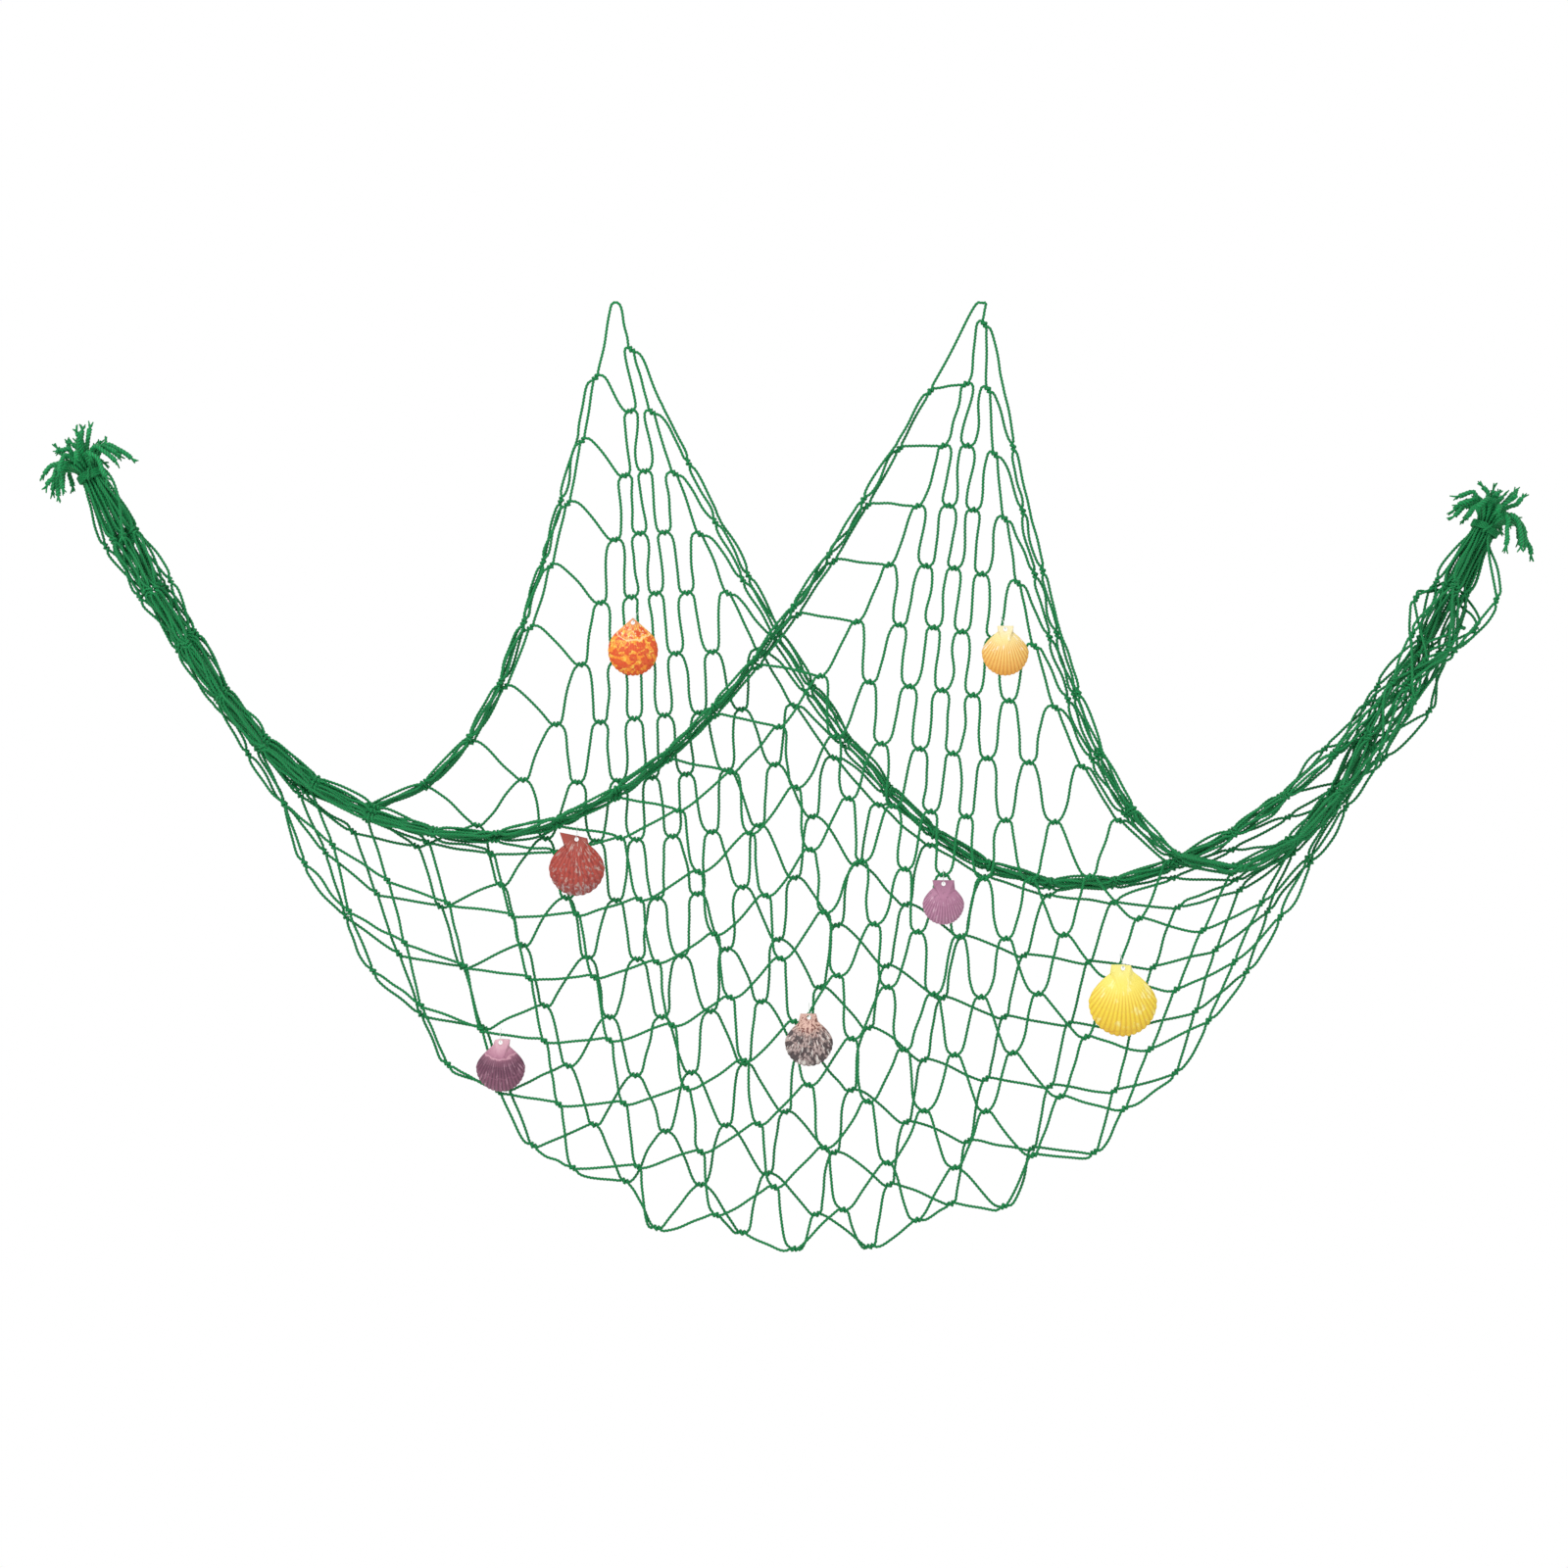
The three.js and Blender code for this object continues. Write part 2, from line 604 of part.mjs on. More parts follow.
// A shell that faces -Y, with its drilled hole at the origin.
function scallop(shell) {
  const { dome, beak } = shell;
  const profile = [];
  for (const r of [0, 0.35, 0.6, 0.8, 0.93, 1]) profile.push(new THREE.Vector2(r, 1));
  for (const r of [1, 0.93, 0.8, 0.6, 0.35, 0]) profile.push(new THREE.Vector2(r, 0));
  const dish = new THREE.LatheGeometry(profile, SHELL_FACETS);
  reshape(dish, (point) => {
    const turn = Math.atan2(point.x, point.z);
    const share = Math.hypot(point.x, point.z);
    // Closer facets at the beak, where the ears are.
    const angle = turn - 0.55 * Math.sin(turn);
    const distance = share * scallopRim(shell, angle);
    const bulge = dome * (1 - share * share);
    const depth = bulge + point.y * SHELL_THICKNESS;
    point.set(Math.sin(angle) * distance, -depth, Math.cos(angle) * distance);
  });
  const holeDepth = shellDepthAtHole(shell);
  dish.translate(0, holeDepth, SHELL_HOLE_DROP - beak);
  const drill = new THREE.CylinderGeometry(SHELL_HOLE / 2, SHELL_HOLE / 2, 3 * dome, 10);
  return geometryOf(solidOf(dish).subtract(solidOf(drill)));
}

// How far the middle of the shell's wall stands in front of its rim, at the hole.
function shellDepthAtHole({ dome, beak }) {
  const share = (beak - SHELL_HOLE_DROP) / beak;
  return dome * (1 - share * share) + SHELL_THICKNESS / 2;
}

// The middle of every knot, between its two twines.
const knots = netRows.slice(1).flatMap((points, k) => {
  const above = netRows[k];
  const stations = Array.from({ length: BARS - 1 }, (_, n) => n + 1);
  return stations
    .filter((station) => bendsUp(k + 1, station))
    .map((station) => {
      const corners = [points, above].flatMap((row) => row.slice(station * 2, station * 2 + 2));
      return corners.reduce((sum, c) => sum.add(c), new THREE.Vector3()).divideScalar(4);
    });
});

// Every straight stretch of twine in the net.
const stretches = netRows.flatMap((points) =>
  points.slice(1).map((end, k) => new THREE.Line3(points[k], end)),
);

const nearestPoint = new THREE.Vector3();
function distanceTo(stretch, point) {
  stretch.closestPointToPoint(point, true, nearestPoint);
  return nearestPoint.distanceTo(point);
}

// Points along a tie that reaches forward from its pivot, turned up by an angle about the pivot. It
// lies in an upright plane, or in one that leans sideways with the twines beside it.
function tieRoute({ pivot, forward, lean }, turnedUp) {
  const reach = new THREE.Vector3(0, -forward, -TIE_DROP);
  const bends = [];
  for (let k = 0; k < TIE_FACETS; k++) {
    const turn = (k / TIE_FACETS) * 2 * Math.PI;
    const bend = new THREE.Vector3(0, Math.sin(turn), Math.cos(turn)).multiplyScalar(TIE_RADIUS);
    if (bend.dot(reach) > 0) bend.add(reach);
    bend.applyAxisAngle(new THREE.Vector3(1, 0, 0), -turnedUp).applyAxisAngle(TO_WALL, lean);
    bends.push(bend.add(pivot));
  }
  return bends.flatMap((bend, k) => {
    const next = bends[(k + 1) % TIE_FACETS];
    return [0, 0.2, 0.4, 0.6, 0.8].map((share) => bend.clone().lerp(next, share));
  });
}

// How far the shell must hang in front of its pivot to stay clear of the twines behind it, wherever
// it swings.
function forwardReach(shell, pivot, nearby) {
  const hangsBelow = shell.beak + shell.radius - SHELL_HOLE_DROP;
  const middleHeight = pivot.z - TIE_DROP - TIE_RADIUS - hangsBelow / 2;
  const front = Math.min(
    ...nearby
      .flatMap((stretch) => [0, 0.25, 0.5, 0.75, 1].map((t) => stretch.at(t, new THREE.Vector3())))
      .filter((p) => Math.hypot(p.x - pivot.x, p.z - middleHeight) < hangsBelow * 0.8)
      .map((p) => p.y),
  );
  const rimPlane = front - TWINE_CORNER - SHELL_CLEARANCE;
  return Math.max(pivot.y - rimPlane + shellDepthAtHole(shell), TIE_REACH);
}

// The clear distance between a tie and the middles of the twines round it as it lifts. It is counted
// only until it falls under a bound.
function roomForTie(hung, close, bound) {
  let room = Infinity;
  for (const turnedUp of [0, 0.4, 0.8, TIE_SWING]) {
    for (const point of tieRoute(hung, turnedUp)) {
      for (const stretch of close) room = Math.min(room, distanceTo(stretch, point));
      if (room < bound) return room;
    }
  }
  return room;
}

// Hangs a shell from the knot or bar nearest to the wanted place that has room for its tie, or else
// from the one with the most room.
function hangShell(shell) {
  const wanted = new THREE.Vector3(shell.x, 0, shell.z + TIE_DROP + TIE_RADIUS);
  const nearby = stretches.filter((stretch) => {
    wanted.y = stretch.start.y;
    return distanceTo(stretch, wanted) < 90;
  });
  const places = nearby
    .flatMap((stretch) => [0.3, 0.5, 0.7].map((t) => stretch.at(t, new THREE.Vector3())))
    .concat(knots)
    .map((pivot) => {
      const forward = forwardReach(shell, pivot, nearby);
      const miss = Math.hypot(pivot.x - wanted.x, pivot.z - wanted.z);
      return { pivot, forward, miss: miss + 10 * Math.max(0, forward - TIE_LONGEST_REACH) };
    })
    .sort((one, other) => one.miss - other.miss);
  const enough = TWINE_CORNER + TIE_WIRE / 2 + TIE_CLEARANCE;
  let roomiest = { room: 0 };
  for (const { pivot, forward } of places) {
    const close = nearby.filter((stretch) => distanceTo(stretch, pivot) < 2 * TIE_LONGEST_REACH);
    for (const lean of TIE_LEANS) {
      const room = roomForTie({ pivot, forward, lean }, close, roomiest.room);
      if (room > roomiest.room) roomiest = { pivot, forward, lean, room };
      if (room > enough) return roomiest;
    }
  }
  return roomiest;
}

// The tie is a ring drawn out into a link, round the twine at one end and through the hole at the
// other. Its pivot, on the twine, is at the origin.
function shellTie(forward) {
  const ring = new THREE.TorusGeometry(TIE_RADIUS, TIE_WIRE / 2, 5, TIE_FACETS);
  const reach = new THREE.Vector3(0, -forward, -TIE_DROP);
  return reshape(ring, (point) => {
    point.set(point.z, point.x, point.y);
    if (point.dot(reach) > 0) point.add(reach);
  });
}

// ---- The assembly ----

const net = new THREE.Group();

function addPiece(name, geometry, finish, place) {
  const material = new THREE.MeshStandardMaterial({ metalness: 0, ...finish });
  const piece = new THREE.Mesh(geometry, material);
  piece.name = name;
  if (place) piece.position.copy(place);
  net.add(piece);
  return piece;
}

const GREEN_TWINE = { color: 0x1f8f52, roughness: 0.7 };
const CLEAR_LINE = { color: 0xdfe4e0, roughness: 0.3 };

netRows.forEach((points, row) => {
  const name = "row_twine_" + String(row + 1).padStart(2, "0");
  addPiece(name, rowTwine(points, row), GREEN_TWINE);
});

for (const [name, end] of [["left_lashing", leftEnd], ["right_lashing", rightEnd]]) {
  const piece = addPiece(name, lashing(end), GREEN_TWINE, end.middle);
  piece.quaternion.setFromUnitVectors(new THREE.Vector3(0, 1, 0), end.outward);
}

addPiece("left_lashing_tail", looseTail(leftEnd), GREEN_TWINE);

for (const [name, shell] of Object.entries(SHELLS)) {
  const hung = hangShell(shell);
  const hole = new THREE.Vector3(0, -hung.forward, -TIE_DROP - TIE_RADIUS);
  hole.applyAxisAngle(TO_WALL, hung.lean).add(hung.pivot);
  const tie = addPiece(name + "_tie", shellTie(hung.forward), CLEAR_LINE, hung.pivot);
  tie.rotation.y = hung.lean;
  addPiece(name, scallop(shell), { color: shell.color, roughness: 0.5 }, hole);
}

export default net;
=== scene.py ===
# A decorative fishing net, hung on a wall: laid green twine knotted into diamond meshes, gathered and
# whipped at both ends, with drilled scallop shells tied to its front on loops of clear line.
# Metres, +Z up. The wall is the plane y = 0, and the net hangs on its -Y side.
import json
import math
import random

import bmesh
import bpy
import numpy as np
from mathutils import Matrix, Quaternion, Vector

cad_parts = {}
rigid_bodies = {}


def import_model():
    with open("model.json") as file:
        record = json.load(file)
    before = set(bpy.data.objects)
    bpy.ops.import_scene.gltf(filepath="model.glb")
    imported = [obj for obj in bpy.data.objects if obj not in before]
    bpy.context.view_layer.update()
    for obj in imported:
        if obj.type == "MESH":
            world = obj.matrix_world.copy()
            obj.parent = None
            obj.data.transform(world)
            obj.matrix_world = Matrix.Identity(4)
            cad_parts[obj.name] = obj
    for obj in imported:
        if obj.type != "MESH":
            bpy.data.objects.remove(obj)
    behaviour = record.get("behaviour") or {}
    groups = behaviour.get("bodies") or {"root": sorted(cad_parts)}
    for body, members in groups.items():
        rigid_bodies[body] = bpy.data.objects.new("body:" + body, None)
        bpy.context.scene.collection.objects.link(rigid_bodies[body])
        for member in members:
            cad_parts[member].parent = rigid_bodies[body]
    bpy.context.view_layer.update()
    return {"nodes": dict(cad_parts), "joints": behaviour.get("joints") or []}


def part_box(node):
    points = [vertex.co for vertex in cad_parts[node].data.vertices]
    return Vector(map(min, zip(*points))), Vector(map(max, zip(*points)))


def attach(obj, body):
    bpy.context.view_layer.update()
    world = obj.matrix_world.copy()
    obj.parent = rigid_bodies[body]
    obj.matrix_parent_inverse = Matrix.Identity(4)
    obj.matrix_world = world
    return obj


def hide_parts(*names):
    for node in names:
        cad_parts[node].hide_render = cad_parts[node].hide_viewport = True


for left_over in list(bpy.data.objects):
    bpy.data.objects.remove(left_over)

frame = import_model()
random.seed(34)

MM = 0.001

# ---- Sizes ----

TWINE_CREST = 1.54 * MM  # from the twine's middle to the outside of a strand
TWINE_VALLEY = 1.18 * MM  # to the groove between two strands
TWINE_LAY = 9.6 * MM  # length of one full turn of the strands
TWINE_STEP = 1.35 * MM  # between two rings of a twine's mesh
TWINE_DIAMETER = 2.8 * MM
RING_CORNERS = 6  # three strands and three grooves
TWINE_LANE = 0.86  # how much of a lane of the bake map a twine's wall fills; its caps have the rest
LANE_GAP = 0.04

LEG_PULL = 0.42  # how far a leg keeps the direction in which it leaves its knot, of its length
FREE_PULL = 0.12  # the same at the free bend of a selvage loop
# A leg that leaves its knot at less than the first angle to its own way is straight, and one at more
# than the second keeps its whole bend.
STRAIGHTENED = (math.radians(24), math.radians(44))
WANDER = 0.45 * MM  # how far a straight leg strays from its line
SLACK_WANDER = 1.1 * MM  # the same for a leg that bends
TASSEL_DROOP = 0.8  # how far a cut end sinks, of its length
TASSEL_CURL = 2.2 * MM
TASSEL_THICKNESS = 1.6  # of a cut end, where the twine has come loose, to the laid twine
YARN_CREST = 0.95 * MM  # of a loose yarn of a frayed end, as for a twine
YARN_VALLEY = 0.75 * MM
YARN_LAY = 5 * MM
YARN_STEP = 0.9 * MM
CUT_RINGS = 4  # rings of a CAD twine from its cut end to where it leaves its lashing
STATION_SPAN = 15 * MM  # two rings nearer than this are the two sides of one knot
WALL_GAP = 1.4 * MM  # no twine's middle lies nearer to the wall

# One knot, in millimetres: across, up and forward from its middle. The upper row's twine makes a
# shallow bend, and the lower row's twine is wrapped round it.
UPPER_BEND = [(-5.2, 1.6, 0), (-3.0, -0.1, 0), (0, -0.8, 0), (3.0, -0.1, 0), (5.2, 1.6, 0)]
LOWER_WRAP = [
    (-5.2, -1.6, 0), (-3.2, -0.6, -1.0), (-2.0, 1.7, -1.6), (-1.5, 2.4, 0), (-1.0, 1.1, 1.8),
    (0, -1.7, 1.6), (0.6, -2.5, 0), (1.0, -0.9, -1.8), (1.4, 1.5, -1.6), (1.9, 2.4, 0.1),
    (2.7, 0.7, 1.7), (3.8, -0.8, 0.9), (5.2, -1.6, 0),
]
# The directions in which the four legs leave the knot: across and up.
KNOT_LEGS = {"upper_left": (-1, 0.4), "upper_right": (1, 0.4), "lower_left": (-1, -0.4),
             "lower_right": (1, -0.4)}
FREE_BEND = 2.5 * MM  # half the width of a selvage loop's bend

CLEAR_LINE = 0.24 * MM  # radius of the shells' line
LINE_REACH = 4.2 * MM  # radius of each round end of its loop
LINE_STEP = 0.6 * MM

VIEW_WIDTH = 1.472  # of the picture, at the net
VIEW_MIDDLE = (-0.0138, -0.03, -0.454)
VIEW_DISTANCE = 3.2


# ---- The camera, at the angle of the real view ----

def make_camera():
    data = bpy.data.cameras.new("camera")
    camera = bpy.data.objects.new("camera", data)
    bpy.context.scene.collection.objects.link(camera)
    data.sensor_width = 36
    data.lens = data.sensor_width * VIEW_DISTANCE / VIEW_WIDTH
    camera.location = (VIEW_MIDDLE[0], VIEW_MIDDLE[1] - VIEW_DISTANCE, VIEW_MIDDLE[2])
    camera.rotation_euler = (math.pi / 2, 0, 0)
    bpy.context.scene.camera = camera


make_camera()


# ---- Twine ----

def evenly(points, step):
    """The same line with its points an even step apart."""
    points = np.asarray(points, float)
    gaps = np.linalg.norm(np.diff(points, axis=0), axis=1)
    keep = np.concatenate([[True], gaps > 1e-7])
    points = points[keep]
    along = np.concatenate([[0], np.cumsum(np.linalg.norm(np.diff(points, axis=0), axis=1))])
    count = max(int(round(along[-1] / step)), 3)
    wanted = np.linspace(0, along[-1], count + 1)
    return np.stack([np.interp(wanted, along, points[:, k]) for k in range(3)], axis=1)


def eased(points, passes=2):
    """The same line with its corners rounded off. Its ends stay."""
    for _ in range(passes):
        middle = (points[:-2] + 2 * points[1:-1] + points[2:]) / 4
        points = np.concatenate([points[:1], middle, points[-1:]])
    return points


def spline(points, per_span=5):
    """A smooth line through a few points."""
    points = np.asarray(points, float)
    padded = np.concatenate([[2 * points[0] - points[1]], points, [2 * points[-1] - points[-2]]])
    t = np.linspace(0, 1, per_span, endpoint=False)[:, None]
    spans = []
    for a, b, c, d in zip(padded, padded[1:], padded[2:], padded[3:]):
        spans.append(
            0.5 * (2 * b + (c - a) * t + (2 * a - 5 * b + 4 * c - d) * t**2
                   + (3 * b - 3 * c + d - a) * t**3)
        )
    return np.concatenate(spans + [points[-1:]])


def frames_along(points):
    """Normal and side at each point, with no more turn than the line itself has."""
    tangents = np.gradient(points, axis=0)
    tangents /= np.linalg.norm(tangents, axis=1)[:, None]
    normal = Vector((0, -1, 0))
    normals = []
    for tangent in tangents.tolist():
        tangent = Vector(tangent)
        normal = normal - tangent * normal.dot(tangent)
        normal.normalize()
        normals.append(normal[:])
    normals = np.array(normals)
    return normals, np.cross(tangents, normals)


def laid_tube(points, radius=(TWINE_CREST, TWINE_VALLEY), lay=TWINE_LAY, step=TWINE_STEP, taper=None):
    """A laid twine's corners and faces, where each corner lies along the line and in its strand, and
    the faces unrolled."""
    points = evenly(points, step)
    count = len(points)
    corners = RING_CORNERS
    normals, sides = frames_along(points)
    along = np.arange(count) * np.linalg.norm(points[1] - points[0])
    turn = 2 * np.pi * (along / lay)[:, None] + 2 * np.pi * np.arange(corners)[None, :] / corners
    strand = np.tile(np.arange(corners) % 2, (count, 1)).astype(float)
    reach = np.where(strand == 0, radius[0], radius[1])
    if taper is not None:
        reach = reach * np.interp(along / along[-1], taper[0], taper[1])[:, None]
    verts = (
        points[:, None, :]
        + (np.cos(turn) * reach)[..., None] * normals[:, None, :]
        + (np.sin(turn) * reach)[..., None] * sides[:, None, :]
    )
    ring = np.arange(count - 1)[:, None] * corners
    k = np.arange(corners)[None, :]
    after = (k + 1) % corners
    walls = np.stack([ring + k, ring + after, ring + corners + after, ring + corners + k], axis=-1)
    walls = walls.reshape(-1, 4)
    last = (count - 1) * corners
    # Each cap is a ring of six corners as two faces of four.
    caps = [(0, 5, 4, 3), (0, 3, 2, 1), (last, last + 1, last + 2, last + 3),
            (last, last + 3, last + 4, last + 5)]
    faces = np.concatenate([walls, np.array(caps)])
    # Where each face's corners lie when the tube is slit and unrolled: around, and along from its start.
    around = np.stack([k[0], k[0] + 1, k[0] + 1, k[0]], axis=-1) / corners * TWINE_LANE
    around = np.tile(around, (count - 1, 1))
    rise = np.array([0, 0, 1, 1]) * along[1]
    unrolled = np.stack([around, np.repeat(along[:-1], corners)[:, None] + rise], axis=-1)
    left, right = TWINE_LANE + LANE_GAP, 1 - LANE_GAP
    cap = np.array([(left, 0), (right, 0), (right, along[1]), (left, along[1])])
    last_cap = cap + (0, along[-2])
    cap_faces = [cap, cap + (0, along[1]), last_cap, last_cap - (0, along[1])]
    unrolled = np.concatenate([unrolled, cap_faces])
    return {
        "verts": verts.reshape(-1, 3),
        "faces": faces,
        "along": np.repeat(along, corners),
        "strand": strand.reshape(-1),
        "unrolled": unrolled,
        "length": along[-1] + 2 * along[1],
    }


def joined(tubes):
    """Several tubes as one."""
    start = 0
    faces = []
    for tube in tubes:
        faces.append(tube["faces"] + start)
        start += len(tube["verts"])
    whole = {
        key: np.concatenate([tube[key] for tube in tubes]) for key in ("verts", "along", "strand")
    }
    whole["faces"] = np.concatenate(faces)
    starts = np.cumsum([0] + [tube["length"] for tube in tubes])
    whole["unrolled"] = np.concatenate([
        tube["unrolled"] + (0, start) for tube, start in zip(tubes, starts)
    ])
    whole["length"] = starts[-1]
    return whole


def lay_out(piece, whole):
    """Folds the unrolled tubes into side-by-side lanes that fill a square, as the piece's bake map."""
    lane_width = 2 * math.pi * TWINE_CREST * 1.2
    lanes = max(math.ceil(math.sqrt(whole["length"] / lane_width)), 1)
    tall = whole["length"] / lanes
    uv = whole["unrolled"].copy()
    lane = np.floor(uv[:, :, 1].min(axis=1) / tall)[:, None]
    margin = 3 * TWINE_STEP
    uv[:, :, 1] = (uv[:, :, 1] - lane * tall + margin / 2) / (tall + margin)
    uv[:, :, 0] = (uv[:, :, 0] + lane + 0.05) / (lanes + 1)
    layer = piece.data.uv_layers.new(name="OFBake")
    layer.data.foreach_set("uv", uv.astype(np.float32).ravel())


def piece_of(name, verts, faces, values=()):
    """A new piece from corner places and faces of four corners, with named values on its corners."""
    mesh = bpy.data.meshes.new(name)
    mesh.from_pydata(verts.tolist(), [], faces.tolist())
    for key, value in dict(values).items():
        layer = mesh.attributes.new(key, "FLOAT", "POINT")
        layer.data.foreach_set("value", np.asarray(value, np.float32))
    mesh.polygons.foreach_set("use_smooth", np.full(len(mesh.polygons), True))
    mesh.update()
    piece = bpy.data.objects.new(name, mesh)
    bpy.context.scene.collection.objects.link(piece)
    return piece


def twine_piece(name, tubes, tone):
    whole = joined(tubes)
    values = {
        "strand": whole["strand"],
        "along": whole["along"],
        "tone": np.full(len(whole["verts"]), tone),
    }
    piece = piece_of(name, whole["verts"], whole["faces"], values)
    lay_out(piece, whole)
    return piece


def frayed_end(tip, heading, yarns=5, length=9 * MM):
    """Loose yarns that open out from a cut end."""
    tubes = []
    heading = Vector(heading).normalized()
    for _ in range(yarns):
        lean = Vector([random.gauss(0, 1) for _ in range(3)])
        lean = (lean - heading * lean.dot(heading)).normalized() * random.uniform(0.15, 0.45)
        reach = length * random.uniform(0.6, 1.1)
        start = Vector(tip) - heading * 2 * MM
        middle = start + (heading + lean * 0.5) * reach * 0.5
        end = middle + (heading + lean * 1.6) * reach * 0.5
        line = spline([start, middle, end], 6)
        tubes.append(laid_tube(line, (YARN_CREST, YARN_VALLEY), lay=YARN_LAY, step=YARN_STEP,
                               taper=([0, 0.7, 1], [1, 1, 0.7])))
    return tubes


# ---- The routes of the row twines, read from the CAD's own tubes ----

def ring_middles(node):
    """The middle of each ring of a tube, from its left end to its right end."""
    shape = bmesh.new()
    shape.from_mesh(node.data)
    bmesh.ops.remove_doubles(shape, verts=shape.verts, dist=2e-5)
    ends = sorted((v for v in shape.verts if len(v.link_edges) == 3), key=lambda v: v.co.x)
    ring = [ends[0]]
    seen = {ends[0]}
    middles = []
    while True:
        ring = [e.other_vert(v) for v in ring for e in v.link_edges]
        ring = [v for v in dict.fromkeys(ring) if v not in seen]
        if not ring or ends[1] in ring:
            break
        seen.update(ring)
        middles.append(sum((v.co for v in ring), Vector()) / len(ring))
    shape.free()
    return middles


def stations_of(middles):
    """A row's route as its two cut ends, its two gathered stretches and the knots between them."""
    inner = middles[CUT_RINGS:-CUT_RINGS]
    stations = []
    while inner:
        point = inner.pop(0)
        if inner and (inner[0] - point).length < STATION_SPAN:
            stations.append((point, inner.pop(0)))
        else:
            stations.append((point, point))
    return {
        "left": middles[:CUT_RINGS],
        "right": middles[-CUT_RINGS:],
        "stations": stations,
    }


row_names = sorted(name for name in frame["nodes"] if name.startswith("row_twine"))
rows = [stations_of(ring_middles(frame["nodes"][name])) for name in row_names]


def bundle(side):
    """A lashing's middle, its outward direction, the radius inside it and its length."""
    ends = [row[side] for row in rows]
    far, near = (2, 3) if side == "left" else (1, 0)
    outward = sum((e[far] - e[near] for e in ends), Vector()).normalized()
    middle = sum((e[far] + e[near] for e in ends), Vector()) / (2 * len(ends))
    lashing = frame["nodes"][side + "_lashing"].data.vertices
    spokes = [v.co - middle for v in lashing]
    inside = min((s - outward * s.dot(outward)).length for s in spokes)
    length = max(s.dot(outward) for s in spokes) - min(s.dot(outward) for s in spokes)
    return middle, outward, inside, length


bundles = {side: bundle(side) for side in ("left", "right")}


# How much wider than the CAD's tubes the twines lie beside a lashing, for the stations from it on.
# Where a share is below zero, they lie closer. No twine moves by more than MOST_SPREAD.
SPREAD = {"left": (0.25, -0.1, -0.2, -0.25, -0.25, -0.2, -0.1), "right": (0.25, 0.12, 0.08, 0.05)}
MOST_SPREAD = 9 * MM


def spread_bundle(side, shares):
    """Moves the twines of a gathered end apart, across the bundle and in the net's plane."""
    last = len(rows[0]["stations"]) - 1
    for k, share in enumerate(shares):
        station = k if side == "left" else last - k
        centre = [sum((row_point(row, at) for row in range(len(rows))), Vector()) / len(rows)
                  for at in (station - 1, station, station + 1)]
        line = centre[2] - centre[0]
        across = Vector((-line.z, 0, line.x)).normalized()
        for row in rows:
            off = (sum(row["stations"][station], Vector()) / 2 - centre[1]).dot(across)
            shift = across * min(max(off * share, -MOST_SPREAD), MOST_SPREAD)
            row["stations"][station] = tuple(point + shift for point in row["stations"][station])


def bends_up(row, station):
    """Whether a row is knotted to the row above it there, and not to the one below."""
    return (row + station) % 2 == 1


def row_point(row, station):
    """The middle of a row's twine at a station, or where it leaves the gathered ends."""
    stations = rows[row]["stations"]
    if station < 0:
        return rows[row]["left"][3]
    if station >= len(stations):
        return rows[row]["right"][0]
    near, far = stations[station]
    return (near + far) / 2


for side, shares in SPREAD.items():
    spread_bundle(side, shares)


def knot_frame(row, station):
    """The middle of the knot of a row and the row above it, and its across, up and forward.

    The knot is turned in the net's plane so that its four legs leave as near as they can to where
    they go."""
    middle = (row_point(row, station) + row_point(row - 1, station)) / 2
    goals = {
        "upper_left": row_point(row - 1, station - 1),
        "upper_right": row_point(row - 1, station + 1),
        "lower_left": row_point(row, station - 1),
        "lower_right": row_point(row, station + 1),
    }
    # The front layer is upside down, because the net is folded: both ways up are tried.
    fits = []
    for upright in (1, -1):
        same, quarter = 0.0, 0.0
        for key, goal in goals.items():
            x, z = KNOT_LEGS[key][0], KNOT_LEGS[key][1] * upright
            to = (goal - middle).normalized()
            same += x * to.x + z * to.z
            quarter += x * to.z - z * to.x
        fits.append((math.hypot(same, quarter), upright, math.atan2(quarter, same)))
    _, upright, turn = max(fits)
    across = Vector((math.cos(turn), 0, math.sin(turn)))
    up = Vector((-math.sin(turn), 0, math.cos(turn))) * upright
    return middle, across, up, Vector((0, -1, 0))


def placed(points, place):
    """The points of a knot, given in millimetres in its own frame."""
    middle, across, up, forward = place
    return [middle + (across * x + up * z + forward * y) * MM for x, z, y in points]


stations_count = len(rows[0]["stations"])
knots = {
    (row, station): knot_frame(row, station)
    for row in range(1, len(rows))
    for station in range(stations_count)
    if bends_up(row, station)
}


def knotted(row, station):
    """False at the free bends of the two selvage rows."""
    return 0 < row if bends_up(row, station) else row < len(rows) - 1


def passage(row, station):
    """A row's twine through one station: through a knot, or round the free bend of a selvage loop."""
    if not knotted(row, station):
        near, far = rows[row]["stations"][station]
        if (far - near).length < FREE_BEND:
            along = (row_point(row, station + 1) - row_point(row, station - 1)).normalized()
            near, far = near - along * FREE_BEND, far + along * FREE_BEND
        crown = near.lerp(far, 0.5)
        crown.z += 0.25 * (far - near).length * (1 if bends_up(row, station) else -1)
        return np.array([near, crown, far])
    if bends_up(row, station):
        return spline(placed(LOWER_WRAP, knots[row, station]), 3)
    return spline(placed(UPPER_BEND, knots[row + 1, station]), 3)


def hermite(start, end, start_pull, end_pull):
    """A smooth line between two points, with the direction and strength it has at each."""
    t = np.linspace(0, 1, 14)[:, None]
    return (
        (2 * t**3 - 3 * t**2 + 1) * start + (t**3 - 2 * t**2 + t) * start_pull
        + (3 * t**2 - 2 * t**3) * end + (t**3 - t**2) * end_pull
    )


